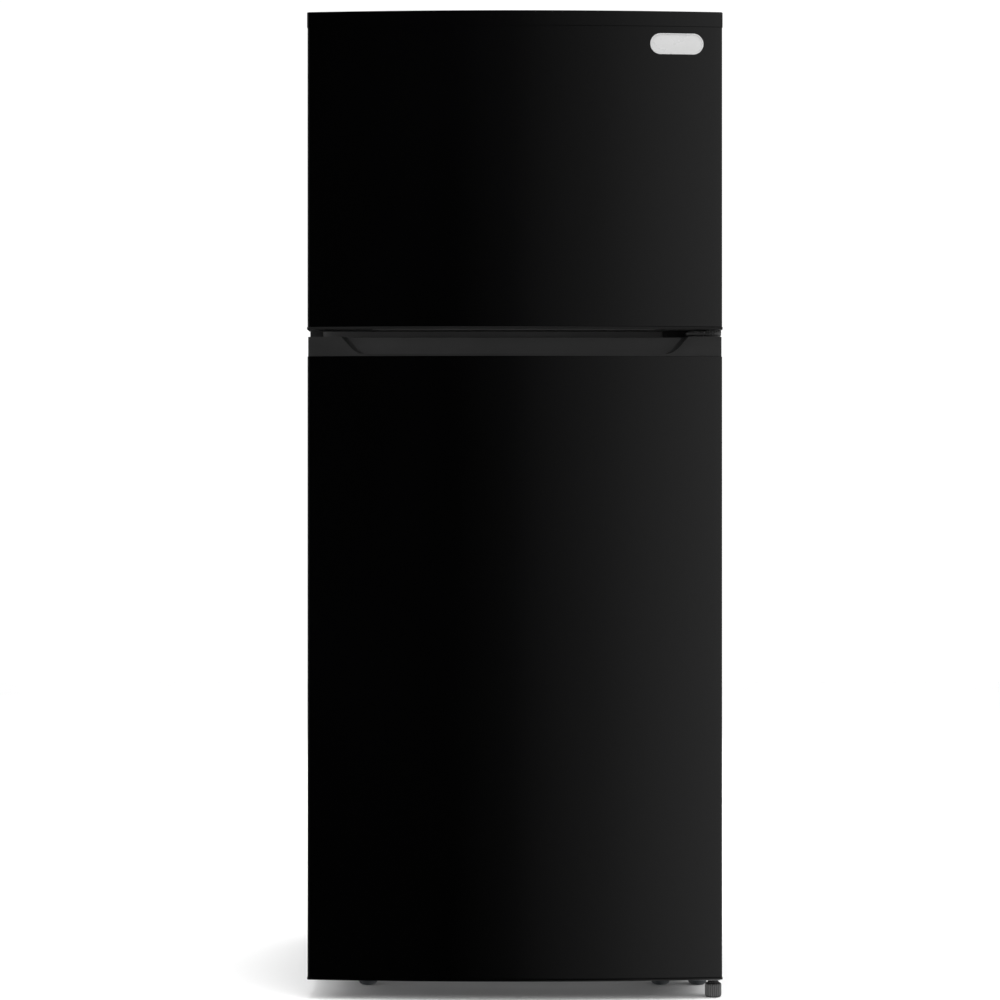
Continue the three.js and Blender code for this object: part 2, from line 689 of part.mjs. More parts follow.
// A wheel on a stub axle along X.
function roller() {
  const half = rollerWidth / 2;
  const wheel = turned([
    [0, -half], [rollerRadius - 2, -half], [rollerRadius, 2 - half],
    [rollerRadius, half - 2], [rollerRadius - 2, half], [0, half],
  ]).rotate([0, 90, 0]);
  const reach = half + 8;
  return wheel.add(rod('x', axleRadius, -reach, reach, 0, 0, 16));
}

addPiece('leveling_leg', levelingLeg(), finishes.greyPlastic, refrigerator, [hingeX, hingeY, 0]);
const footTall = cabinetFloor - clear;
addPiece('front_foot_left', dome(footTall), finishes.slateRubber, refrigerator, [-footX, footY, 0]);
addPiece('front_foot_right', dome(footTall), finishes.slateRubber, refrigerator, [footX, footY, 0]);
const hingeFootTall = hingePlateBottom - clear;
const hingeFootPlace = [hingeX - hingeFootFromAxis, footY, 0];
addPiece('hinge_foot', dome(hingeFootTall), finishes.slateRubber, refrigerator, hingeFootPlace);

const rollerY = cabinetRearY - rollerFromRear;
for (const [side, x] of [['left', -rollerX], ['right', rollerX]]) {
  const place = [x, rollerY, rollerRadius];
  addPiece(`rear_roller_${side}`, roller(), finishes.slateRubber, refrigerator, place);
}

// Machine space

const baseTop = cabinetFloor + baseThickness;
const compressorX = inside - 158;
const machineY = machineFrontY + machineDepth / 2;
const compressorRadius = 72;
const condenserX0 = 38 - inside;
const condenserX1 = condenserX0 + 165;
const panTall = 20;
const blowerX = condenserX1 + 60;
const blowerZ = cabinetFloor + 112;
const blowerRadius = 68;

function compressorBase() {
  const y0 = machineFrontY + 1;
  const plate = box(-inside + 3, inside - 3, y0, cabinetRearY - 2, cabinetFloor, baseTop);
  const lugs = [];
  for (const x of [-rollerX, rollerX]) {
    for (const side of [-1, 1]) {
      const x0 = x + side * (rollerWidth / 2 + 2 * slideClear);
      const near = Math.min(x0, x0 + side * 3);
      const far = Math.max(x0, x0 + side * 3);
      const lug = box(near, far, rollerY - 12, rollerY + 12, rollerRadius - 9, cabinetFloor + 1);
      const hole = rod('x', axleRadius + pinClear, near - 1, far + 1, rollerY, rollerRadius, 16);
      lugs.push(lug.subtract(hole));
    }
  }
  return joined([plate, ...lugs]);
}

// A welded pot on four rubber grommets.
function compressor() {
  const low = 12;
  const r = compressorRadius;
  const pot = turned([
    [0, low], [r * 0.55, low], [r * 0.9, low + 14], [r, low + 38], [r, low + 84],
    [r * 1.04, low + 86], [r * 1.04, low + 92], [r, low + 94], [r, low + 118],
    [r * 0.82, low + 148], [r * 0.45, low + 162], [0, low + 165],
  ], 24);
  const plate = box(-r - 14, r + 14, -48, 48, low - 3, low + 2);
  const grommets = [];
  for (const x of [-r - 4, r + 4]) {
    for (const y of [-38, 38]) grommets.push(rod('z', 8, clear, low, x, y, 12));
  }
  return joined([pot, plate, ...grommets]);
}

// Two end plates joined by rows of tube.
function tubeBank(halfLength, y0, y1, z0, z1, rows, levels, radius) {
  const plates = [-1, 1].map((side) => {
    const x = side * halfLength;
    return box(x - 1, x + 1, y0, y1, z0, z1);
  });
  const tubes = [];
  const pitch = (z1 - z0) / levels;
  for (const y of spread(y0 + 3 * radius, y1 - 3 * radius, rows)) {
    for (const z of spread(z0 + pitch / 2, z1 - pitch / 2, levels)) {
      tubes.push(rod('x', radius, -halfLength, halfLength, y, z, 8));
    }
  }
  return joined([...plates, ...tubes]);
}

// Blades round a hub, turning about Y, with a blind hole in the back for the motor's shaft.
function fan(radius, blades) {
  const hub = rod('y', radius * 0.28, -9, 9, 0, 0, 20);
  const blade = box(radius * 0.2, radius, -1, 1, -radius * 0.32, radius * 0.32).rotate([32, 0, 0]);
  const wheel = Array.from({ length: blades }, (_, i) => blade.rotate([0, i * 360 / blades, 0]));
  const shaftHole = rod('y', 2 + pinClear, -2, 10, 0, 0, 12);
  return joined([hub, ...wheel]).subtract(shaftHole);
}

// A motor behind a fan, with its shaft and the bar that holds it.
function fanMotor(radius, reach) {
  const can = rod('y', radius, 12, 32, 0, 0, 20);
  const shaft = rod('y', 2, -1, 13, 0, 0, 12);
  const bar = box(-7, 7, 30, 35, -reach, radius);
  return joined([can, shaft, bar]);
}

function drainPan() {
  const x0 = condenserX0 - 12;
  const x1 = condenserX1 + 12;
  const y0 = machineFrontY + 14;
  const y1 = cabinetRearY - 14;
  const z0 = baseTop + clear;
  const z1 = z0 + panTall;
  const hollow = box(x0 + panel, x1 - panel, y0 + panel, y1 - panel, z0 + panel, z1 + 1);
  return box(x0, x1, y0, y1, z0, z1).subtract(hollow);
}

// The louvred cover over the machine space, which stands out behind the cabinet.
function rearCover() {
  const skirt = 1.5;
  const y0 = cabinetRearY + clear;
  const y1 = cabinetRearY + rearBulge;
  const half = cabinetHalf - 5;
  const z0 = cabinetFloor + 4;
  const z1 = machineTop - 4;
  const rim = 26;
  const plate = box(-half, half, y0, y0 + skirt, z0, z1);
  const hump = box(-half + rim, half - rim, y0, y1, z0 + rim, z1 - rim);
  const inset = rim + skirt;
  const hollow = box(-half + inset, half - inset, y0 - 1, y1 - skirt, z0 + inset, z1 - inset);
  const slots = [];
  const slotHalf = (half - inset) / 2 - 20;
  for (const x of [-(half - inset) / 2, (half - inset) / 2]) {
    for (const z of spread(z0 + inset + 14, z1 - inset - 14, 8)) {
      slots.push(box(x - slotHalf, x + slotHalf, y1 - 2 * skirt, y1 + 1, z - 3, z + 3));
    }
  }
  return plate.add(hump).subtract(joined([hollow, ...slots]));
}

addPiece('compressor_base', compressorBase(), finishes.bareSteel);
const compressorPlace = [compressorX, machineY, baseTop];
const paint = finishes.compressorPaint;
addPiece('compressor', compressor(), paint, refrigerator, compressorPlace);
addPiece('drain_pan', drainPan(), finishes.darkPlastic);
const condenserHalf = (condenserX1 - condenserX0) / 2;
const condenser = tubeBank(
  condenserHalf, -machineDepth / 2 + 24, machineDepth / 2 - 24, 0, 160, 3, 7, 3,
);
const condenserPlace = [condenserX0 + condenserHalf, machineY, baseTop + panTall + 2];
addPiece('condenser_coil', condenser, finishes.coilMetal, refrigerator, condenserPlace);

const blowerPlace = [blowerX, machineY, blowerZ];
const blowerMotor = fanMotor(20, blowerZ - baseTop - clear);
const blowerPieces = [
  ['condenser_fan', fan(blowerRadius, 5), finishes.darkPlastic],
  ['condenser_fan_motor', blowerMotor, finishes.bareSteel],
];
for (const [name, solid, finish] of blowerPieces) {
  addPiece(name, solid, finish, refrigerator, blowerPlace).rotation.z = -Math.PI / 2;
}
addPiece('rear_cover', rearCover(), finishes.cabinetSteel);

// Freezer inside

function evaporatorCover() {
  const gap = 2 * clear;
  const half = freezerSpace.half - gap;
  const z0 = freezerSpace.bottom + gap;
  const z1 = freezerSpace.top - gap;
  const plate = box(-half, half, evaporatorCoverY, evaporatorCoverY + panel + 1, z0, z1);
  const mouth = rod('y', fanRadius + 4, evaporatorCoverY - 1, evaporatorCoverY + 5, 0, fanHeight, 32);
  const slots = spread(-half * 0.8, half * 0.8, 9).map((x) => (
    box(x - 18, x + 18, evaporatorCoverY - 1, evaporatorCoverY + 5, z0 + 14, z0 + 22)
  ));
  return plate.subtract(joined([mouth, ...slots]));
}

// Rims round a row of thinner cross wires.
function wireShelf() {
  const half = freezerSpace.half - 2;
  const y0 = shelfFrontY + wire;
  const y1 = freezerShelfRearY - wire;
  const z = freezerShelfHeight;
  const across = [y0, (y0 + y1) / 2, y1].map((y) => rod('x', wire, -half, half, y, z, 8));
  const wires = spread(-half + wire, half - wire, 13);
  const along = wires.map((x, i) => {
    const edge = i === 0 || i === wires.length - 1;
    return rod('y', edge ? wire : wire / 2, y0, y1, x, z + (edge ? 0 : wire * 0.8), edge ? 8 : 6);
  });
  return joined([...across, ...along]);
}

addPiece('evaporator_cover', evaporatorCover(), finishes.whitePlastic);
const evaporatorBottom = freezerSpace.bottom + 22;
const evaporatorTall = fanHeight - 1.3 * fanRadius - evaporatorBottom;
const evaporator = tubeBank(freezerSpace.half - 40, -20, 20, 0, evaporatorTall, 2, 7, 4);
const evaporatorPlace = [0, freezerSpace.rear - 26, evaporatorBottom];
addPiece('evaporator_coil', evaporator, finishes.coilMetal, refrigerator, evaporatorPlace);
const fanPlace = [0, evaporatorCoverY + 16, fanHeight];
addPiece('evaporator_fan', fan(fanRadius, 5), finishes.darkPlastic, refrigerator, fanPlace);
const fanBar = fanRadius + 22;
addPiece('evaporator_fan_motor', fanMotor(16, fanBar), finishes.bareSteel, refrigerator, fanPlace);
addPiece('freezer_shelf', wireShelf(), finishes.coilMetal);

// Fridge inside

// A frame with a rebate for a glass plate, and the plate. Both are drawn with the top at z = 0.
function shelfTrim(half, y0, y1) {
  const frame = box(-half, half, y0, y1, -trimHeight, 0);
  const rebate = trimRim - 3;
  const seatHalf = half - rebate;
  const plateSeat = box(-seatHalf, seatHalf, y0 + rebate, y1 - rebate, -glass - clear, 1);
  const openHalf = half - 2 * trimRim;
  const through = box(-openHalf, openHalf, y0 + 2 * trimRim, y1 - 2 * trimRim, -trimHeight - 1, 1);
  return frame.subtract(plateSeat).subtract(through);
}

function shelfGlass(half, y0, y1) {
  const rebate = trimRim - 3 + clear;
  return box(-half + rebate, half - rebate, y0 + rebate, y1 - rebate, -glass, 0);
}

const shelfHalf = fridgeSpace.half - 2;
fridgeShelves.forEach((name, i) => {
  const place = [0, 0, shelfLevels[i]];
  const trim = shelfTrim(shelfHalf, shelfFrontY, shelfRearY);
  const plate = shelfGlass(shelfHalf, shelfFrontY, shelfRearY);
  addPiece(`fridge_shelf_trim_${name}`, trim, finishes.whitePlastic, refrigerator, place);
  addPiece(`fridge_shelf_glass_${name}`, plate, finishes.glassPlate, refrigerator, place);
});

const crisperCoverRearY = fridgeSpace.stepY + 40;
const crisperCoverPlace = [0, 0, crisperCoverTop];
const crisperTrim = shelfTrim(shelfHalf, shelfFrontY, crisperCoverRearY);
const crisperGlass = shelfGlass(shelfHalf, shelfFrontY, crisperCoverRearY);
const white = finishes.whitePlastic;
addPiece('crisper_cover_trim', crisperTrim, white, refrigerator, crisperCoverPlace);
addPiece('crisper_cover_glass', crisperGlass, finishes.glassPlate, refrigerator, crisperCoverPlace);

// A drawer with a thicker front whose top edge folds over as a grip.
function crisper(drawerWidth) {
  const y0 = shelfFrontY + 4;
  const y1 = fridgeSpace.stepY - 8;
  const z0 = fridgeSpace.bottom + slideClear;
  const half = drawerWidth / 2;
  const wall = crisperWall;
  const outer = box(-half, half, y0, y1, z0, crisperTop);
  const hollow = box(-half + wall, half - wall, y0 + 2 * wall, y1 - wall, z0 + wall, crisperTop + 1);
  const grip = box(-half, half, y0 - 9, y0 + 1, crisperTop - 4, crisperTop);
  const drop = box(-half, half, y0 - 9, y0 - 9 + wall, crisperTop - 16, crisperTop);
  return outer.subtract(hollow).add(grip).add(drop);
}

const crisperWidth = fridgeSpace.half - ledge - 2 * slideClear;
const crisperX = crisperWidth / 2 + slideClear;
for (const [side, x] of [['left', -crisperX], ['right', crisperX]]) {
  const drawer = crisper(crisperWidth);
  addPiece(`crisper_drawer_${side}`, drawer, finishes.clearPlastic, refrigerator, [x, 0, 0]);
}

// The control box under the fridge's ceiling holds the lamp, the knob and the door switch.
const controlHalf = 160;
const controlFrontY = cabinetFrontY + 74;
const controlDepth = 160;
const controlTall = 38;
const controlTop = fridgeSpace.top - clear;
const controlBottom = controlTop - controlTall;
const switchX = 135;
const plungerHalf = 4;
const plungerTravel = 6;
const ridgeRearY = doorRearY + panel + ridgeDepth;
const switchFrontY = ridgeRearY + plungerTravel;
const plungerZ = controlTop - 11;
const knobRadius = 14;
const knobX = 40;
const knobZ = controlBottom + controlTall / 2;

function controlHousing() {
  const rearY = controlFrontY + controlDepth;
  const main = box(-controlHalf, controlHalf, controlFrontY, rearY, controlBottom, controlTop);
  const noseX = switchX - 15;
  const nose = box(noseX, noseX + 30, switchFrontY, controlFrontY + 1, plungerZ - 9, controlTop);
  const slot = plungerHalf + pinClear;
  const guide = box(
    switchX - slot, switchX + slot, switchFrontY - 1, switchFrontY + 30, plungerZ - slot,
    plungerZ + slot,
  );
  const spindle = rod('y', 3 + pinClear, controlFrontY - 1, controlFrontY + 16, knobX, knobZ, 16);
  return main.add(nose).subtract(guide).subtract(spindle);
}

// The plunger is drawn pressed in, as the closed door leaves it.
function switchPlunger() {
  const y0 = ridgeRearY + clear;
  const y1 = switchFrontY + 20;
  const x0 = switchX - plungerHalf;
  const z0 = plungerZ - plungerHalf;
  return box(x0, x0 + 2 * plungerHalf, y0, y1, z0, z0 + 2 * plungerHalf);
}

function temperatureKnob() {
  const dial = rod('y', knobRadius, -12 - clear, -clear, 0, 0, 28);
  const grip = box(-3, 3, -18, -11, -knobRadius + 2, knobRadius - 2);
  return joined([dial, grip, rod('y', 3, -1, 12, 0, 0, 16)]);
}

function lightCover() {
  const y0 = controlFrontY + 22;
  const y1 = y0 + 90;
  const z1 = controlBottom - clear;
  const outer = box(-120, -10, y0, y1, z1 - 14, z1);
  return outer.subtract(box(-120 + panel, -10 - panel, y0 + panel, y1 - panel, z1 - 12, z1 + 1));
}

// A shallow channel up the back wall with air slots.
function airDuctCover() {
  const y1 = fridgeSpace.rear - clear;
  const y0 = y1 - 12;
  const z0 = fridgeSpace.stepTop + 60;
  const z1 = fridgeSpace.top - 60;
  const half = 60;
  const hollow = box(-half + panel, half - panel, y0 + panel, y1 + 1, z0 + panel, z1 - panel);
  const slots = spread(z0 + 60, z1 - 40, 7).map((z) => (
    box(-half + 20, half - 20, y0 - 1, y0 + 2 * panel, z - 4, z + 4)
  ));
  return box(-half, half, y0, y1, z0, z1).subtract(hollow).subtract(joined(slots));
}

addPiece('control_housing', controlHousing(), finishes.whitePlastic);
addPiece('door_switch_plunger', switchPlunger(), finishes.greyPlastic);
const knobPlace = [knobX, controlFrontY, knobZ];
addPiece('temperature_knob', temperatureKnob(), finishes.greyPlastic, refrigerator, knobPlace);
addPiece('light_cover', lightCover(), finishes.clearPlastic);
addPiece('air_duct_cover', airDuctCover(), finishes.whitePlastic);

export default refrigerator;
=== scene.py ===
import math

import bmesh
import bpy
from mathutils import Matrix, Vector


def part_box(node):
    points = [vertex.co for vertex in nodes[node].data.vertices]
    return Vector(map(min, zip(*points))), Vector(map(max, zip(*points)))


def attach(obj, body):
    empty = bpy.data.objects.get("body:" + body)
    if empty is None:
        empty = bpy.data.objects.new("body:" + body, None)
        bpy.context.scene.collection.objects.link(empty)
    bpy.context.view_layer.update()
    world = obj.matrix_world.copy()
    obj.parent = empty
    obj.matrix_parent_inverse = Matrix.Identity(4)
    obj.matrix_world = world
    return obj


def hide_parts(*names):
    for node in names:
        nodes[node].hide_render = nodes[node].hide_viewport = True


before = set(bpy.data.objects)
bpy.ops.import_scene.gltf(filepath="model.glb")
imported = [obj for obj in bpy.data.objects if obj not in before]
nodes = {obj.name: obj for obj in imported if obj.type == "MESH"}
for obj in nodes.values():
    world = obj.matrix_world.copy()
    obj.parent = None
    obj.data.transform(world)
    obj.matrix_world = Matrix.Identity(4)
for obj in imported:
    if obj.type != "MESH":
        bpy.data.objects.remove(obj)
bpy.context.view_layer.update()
scene = bpy.context.scene
print("frame loaded with", len(nodes), "nodes")


# Shader maths

class Link:
    # wraps an output socket, so that masks and heights are written as plain sums
    def __init__(self, shader, socket):
        self.shader, self.socket = shader, socket

    def maths(self, operation, first, second):
        return self.shader.node("Math", {"operation": operation}, {0: first, 1: second})

    def __add__(self, other):
        return self.maths("ADD", self, other)

    def __radd__(self, other):
        return self.maths("ADD", other, self)

    def __sub__(self, other):
        return self.maths("SUBTRACT", self, other)

    def __rsub__(self, other):
        return self.maths("SUBTRACT", other, self)

    def __mul__(self, other):
        return self.maths("MULTIPLY", self, other)

    def __rmul__(self, other):
        return self.maths("MULTIPLY", other, self)


class Shader:
    def __init__(self, name, tree=None):
        if tree is None:
            self.material = bpy.data.materials.new(name)
            self.material.use_nodes = True
            tree = self.material.node_tree
        self.tree = tree
        self.tree.nodes.clear()

    def node(self, kind, settings=None, sockets=None, out=0):
        made = self.tree.nodes.new("ShaderNode" + kind)
        for key, value in (settings or {}).items():
            if key == "stops":
                ramp = made.color_ramp
                for place, colour in value[2:]:
                    ramp.elements.new(place).color = colour
                for element, (place, colour) in zip((ramp.elements[0], ramp.elements[-1]), value[:2]):
                    element.position = place
                    element.color = colour
            else:
                setattr(made, key, value)
        for key, value in (sockets or {}).items():
            if isinstance(value, Link):
                self.tree.links.new(value.socket, made.inputs[key])
            else:
                made.inputs[key].default_value = value
        return Link(self, made.outputs[out]) if made.outputs else None

    def place(self, scale=(1, 1, 1)):
        where = self.node("TexCoord", out=3)
        return self.node("Mapping", sockets={"Vector": where, "Scale": scale})

    def noise(self, scale, detail=3, rough=0.5, stretch=(1, 1, 1)):
        spots = {"Vector": self.place(stretch), "Scale": scale, "Detail": detail, "Roughness": rough}
        return self.node("TexNoise", sockets=spots)

    def cells(self, scale, feature="F1"):
        return self.node("TexVoronoi", {"feature": feature}, {"Vector": self.place(), "Scale": scale})

    def spread(self, value, low, high, to0=0.0, to1=1.0):
        spots = {"Value": value, "From Min": low, "From Max": high, "To Min": to0, "To Max": to1}
        return self.node("MapRange", {"clamp": True}, spots)

    def cloud(self, scale, low=0.0, high=1.0, detail=4):
        # soft patches between two values
        return self.spread(self.noise(scale, detail), 0.3, 0.7, low, high)

    def smudge(self, scale, low, high, detail=3):
        # sparser, sharper patches, for how dull a surface is
        return self.spread(self.noise(scale, detail, 0.6), 0.3, 0.75, low, high)

    def blend(self, factor, first, second):
        # the colour sockets of a Mix node are numbered 6 and 7, and its result 2
        return self.node("Mix", {"data_type": "RGBA"}, {0: factor, 6: first, 7: second}, out=2)

    def bump(self, height, distance, strength=1.0):
        return self.node("Bump", sockets={"Height": height, "Distance": distance, "Strength": strength})

    def along(self, axis):
        # where a point lies along X, Y or Z of the row's frame
        where = self.node("TexCoord", out=3)
        return self.node("SeparateXYZ", sockets={"Vector": where}, out="XYZ".index(axis))

    def fromAxis(self, x, y):
        # how far a point stands from an upright axis
        across, back = self.along("X") - x, self.along("Y") - y
        return self.node("Math", {"operation": "SQRT"}, {0: across * across + back * back})

    def surface(self, **sockets):
        names = {key.replace("_", " "): value for key, value in sockets.items()}
        body = self.node("BsdfPrincipled", sockets=names)
        self.node("OutputMaterial", sockets={"Surface": body})
        return self.material


def grey(level, tint=(0, 0, 0)):
    return (level + tint[0], level + tint[1], level + tint[2], 1)


def boxOf(name):
    low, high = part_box(name)
    return Vector(low), Vector(high)


# Finishes

def makeGlossBlack():
    s = Shader("gloss_black_steel")
    wiped = s.spread(s.noise(3.5, 5, 0.6, (1, 1, 0.35)), 0.35, 0.75)
    haze = s.spread(s.noise(42, 2), 0.5, 0.8)
    colour = s.blend(wiped, grey(0.0003), grey(0.0006, (0, 0, 0.0001)))
    gloss = 0.045 + wiped * 0.03 + haze * 0.012
    peel = s.noise(420, 2, 0.4)
    return s.surface(Base_Color=colour, Roughness=gloss, IOR=1.5, Normal=s.bump(peel, 0.00002, 0.35))


def makeMoulded(name, dark, light, low, high, grain=900, depth=0.00012, metal=0.0):
    s = Shader(name)
    cloud = s.cloud(9)
    colour = s.blend(cloud, dark, light)
    pits = s.cells(grain, "SMOOTH_F1")
    swirl = s.noise(grain * 0.6, 3)
    dull = s.smudge(35, low, high)
    height = pits * 0.6 + swirl * 0.4
    return s.surface(Base_Color=colour, Roughness=dull, Metallic=metal, Normal=s.bump(height, depth, 0.6))


# how far back the recess is painted paler, as painted light in place of the light its shade takes away, and
# the squares of how far out its ends fade
recessLightPaint = {"frontY": -0.335, "backY": -0.324, "endFrom": 0.0795, "endTo": 0.0885}


def makeHandlePlastic():
    # painted light: the moulding is painted paler where it turns back into the shaded recess, so that the
    # recess shows as bright as the face
    s = Shader("handle_moulding")
    cloud = s.cloud(9)
    face = s.blend(cloud, grey(0.0062), grey(0.0078))
    # painted light: the pale tone laid into the shaded recess
    inner = s.blend(cloud, grey(0.0265), grey(0.029))
    middle = s.along("X")
    back = s.spread(s.along("Y"), recessLightPaint["frontY"], recessLightPaint["backY"])
    paintedRecessLight = back * (1 - s.spread(middle * middle, recessLightPaint["endFrom"], recessLightPaint["endTo"]))
    colour = s.blend(paintedRecessLight, face, inner)
    pits = s.cells(900, "SMOOTH_F1")
    height = pits * 0.6 + s.noise(540, 3) * 0.4
    dull = s.smudge(35, 0.5, 0.66)
    return s.surface(Base_Color=colour, Roughness=dull, Normal=s.bump(height, 0.00012, 0.6))


def makePaintedLightShade(name, front, behind, measure, start, end, low, high, grain, shine=0.3):
    # one tone where a measure of the place is under its start, and another past its end; every use paints
    # light or shade this way, paler on shaded set-back faces and darker in grooves
    s = Shader(name)
    cloud = s.cloud(30, 0.9, 1.1)
    tone = s.blend(s.spread(measure(s), start, end), grey(front), grey(behind))
    colour = s.node("VectorMath", {"operation": "SCALE"}, {0: tone, 3: cloud})
    dull = s.smudge(60, low, high)
    pits = s.bump(s.cells(grain, "SMOOTH_F1"), 0.00008, 0.5)
    return s.surface(Base_Color=colour, Roughness=dull, Specular_IOR_Level=shine, Normal=pits)


def makePaintedSheet():
    s = Shader("textured_black_paint")
    pebble = s.cells(420, "SMOOTH_F1")
    crease = s.cells(260, "DISTANCE_TO_EDGE")
    hide = s.spread(crease, 0.0, 0.12) * 0.7 + pebble * 0.5
    dust = s.spread(s.noise(5, 5, 0.6), 0.45, 0.8)
    colour = s.blend(dust, grey(0.011), grey(0.019, (0, 0, 0.001)))
    dull = 0.42 + dust * 0.14
    return s.surface(Base_Color=colour, Roughness=dull, Normal=s.bump(hide, 0.00018, 0.7))


def makeLinerWhite():
    s = Shader("vacuum_formed_white")
    cloud = s.cloud(4)
    colour = s.blend(cloud, (0.64, 0.65, 0.65, 1), (0.67, 0.675, 0.67, 1))
    flow = s.noise(55, 2, 0.4, (1, 1, 0.4))
    grain = s.cells(1400, "SMOOTH_F1")
    gloss = s.cloud(14, 0.3, 0.38)
    relief = s.bump(flow * 0.6 + grain * 0.25, 0.00006, 0.4)
    return s.surface(Base_Color=colour, Roughness=gloss, Normal=relief)


def makeSeal():
    s = Shader("seal_vinyl")
    dust = s.spread(s.noise(60, 4, 0.6), 0.45, 0.8)
    colour = s.blend(dust, grey(0.028), grey(0.05, (0.001, 0.001, 0)))
    fold = s.noise(600, 2)
    return s.surface(Base_Color=colour, Roughness=0.62, Normal=s.bump(fold, 0.00005, 0.5))


def makeZinc(name="zinc_plate", base=0.52, spangle=260):
    s = Shader(name)
    flake = s.cells(spangle)
    tone = s.spread(flake, 0.0, 0.8)
    colour = s.blend(tone, grey(base * 0.82), grey(base * 1.12, (0, 0.004, 0.01)))
    dull = s.smudge(70, 0.28, 0.5, 4)
    scratch = s.noise(300, 3, 0.5, (1, 12, 1))
    return s.surface(Base_Color=colour, Metallic=1.0, Roughness=dull, Normal=s.bump(scratch, 0.00003, 0.4))


def makeBrushed(name, colour0, colour1, stretch, low=0.22, high=0.4):
    s = Shader(name)
    grain = s.noise(500, 4, 0.6, stretch)
    colour = s.blend(s.spread(grain, 0.3, 0.7), colour0, colour1)
    dull = s.spread(grain, 0.3, 0.75, low, high)
    return s.surface(Base_Color=colour, Metallic=1.0, Roughness=dull, Normal=s.bump(grain, 0.00003, 0.4))


def makeClear(name, tint, solid, low, high):
    # partly see-through, so that light still reaches what stands behind
    s = Shader(name)
    flow = s.noise(30, 3, 0.5)
    gloss = s.spread(flow, 0.3, 0.75, low, high)
    density = s.cloud(12, solid * 0.92, solid * 1.08, 3)
    ripple = s.bump(s.noise(18, 2), 0.0001, 0.2)
    return s.surface(
        Base_Color=tint, Roughness=gloss, IOR=1.49, Transmission_Weight=1.0, Alpha=density, Normal=ripple,
    )


def makeFoam():
    s = Shader("polyurethane_foam")
    froth = s.cells(700)
    tone = s.cloud(25)
    colour = s.blend(tone, (0.62, 0.49, 0.22, 1), (0.75, 0.63, 0.33, 1))
    return s.surface(Base_Color=colour, Roughness=0.92, Normal=s.bump(froth, 0.0008, 0.8))


def makeRubber(name, dark, light):
    s = Shader(name)
    bloom = s.spread(s.noise(80, 4, 0.65), 0.4, 0.8)
    colour = s.blend(bloom, dark, light)
    dull = 0.55 + bloom * 0.2
    return s.surface(Base_Color=colour, Roughness=dull, Normal=s.bump(s.noise(1500, 2), 0.00004, 0.6))


def makeLampLens():
    s = Shader("lamp_lens")
    rib = s.node("TexWave", {"bands_direction": "X"}, {"Vector": s.place(), "Scale": 60.0})
    colour = s.blend(rib, (0.6, 0.62, 0.61, 1), (0.7, 0.7, 0.68, 1))
    return s.surface(
        Base_Color=colour, Roughness=0.3, Emission_Color=(1.0, 0.97, 0.9, 1), Emission_Strength=0.45,
        Normal=s.bump(rib, 0.0006, 0.5),
    )


bow = 0.018
capLow, capHigh = boxOf("freezer_door_top_cap")
halfWidth = capHigh.x
frontY = capLow.y
doorRearY = capHigh.y
bowRadius = (halfWidth ** 2 + bow ** 2) / (2 * bow)
bowCentreY = frontY + bowRadius
legLow, legHigh = boxOf("leveling_leg")
hingeX, hingeY = (legLow.x + legHigh.x) / 2, (legLow.y + legHigh.y) / 2
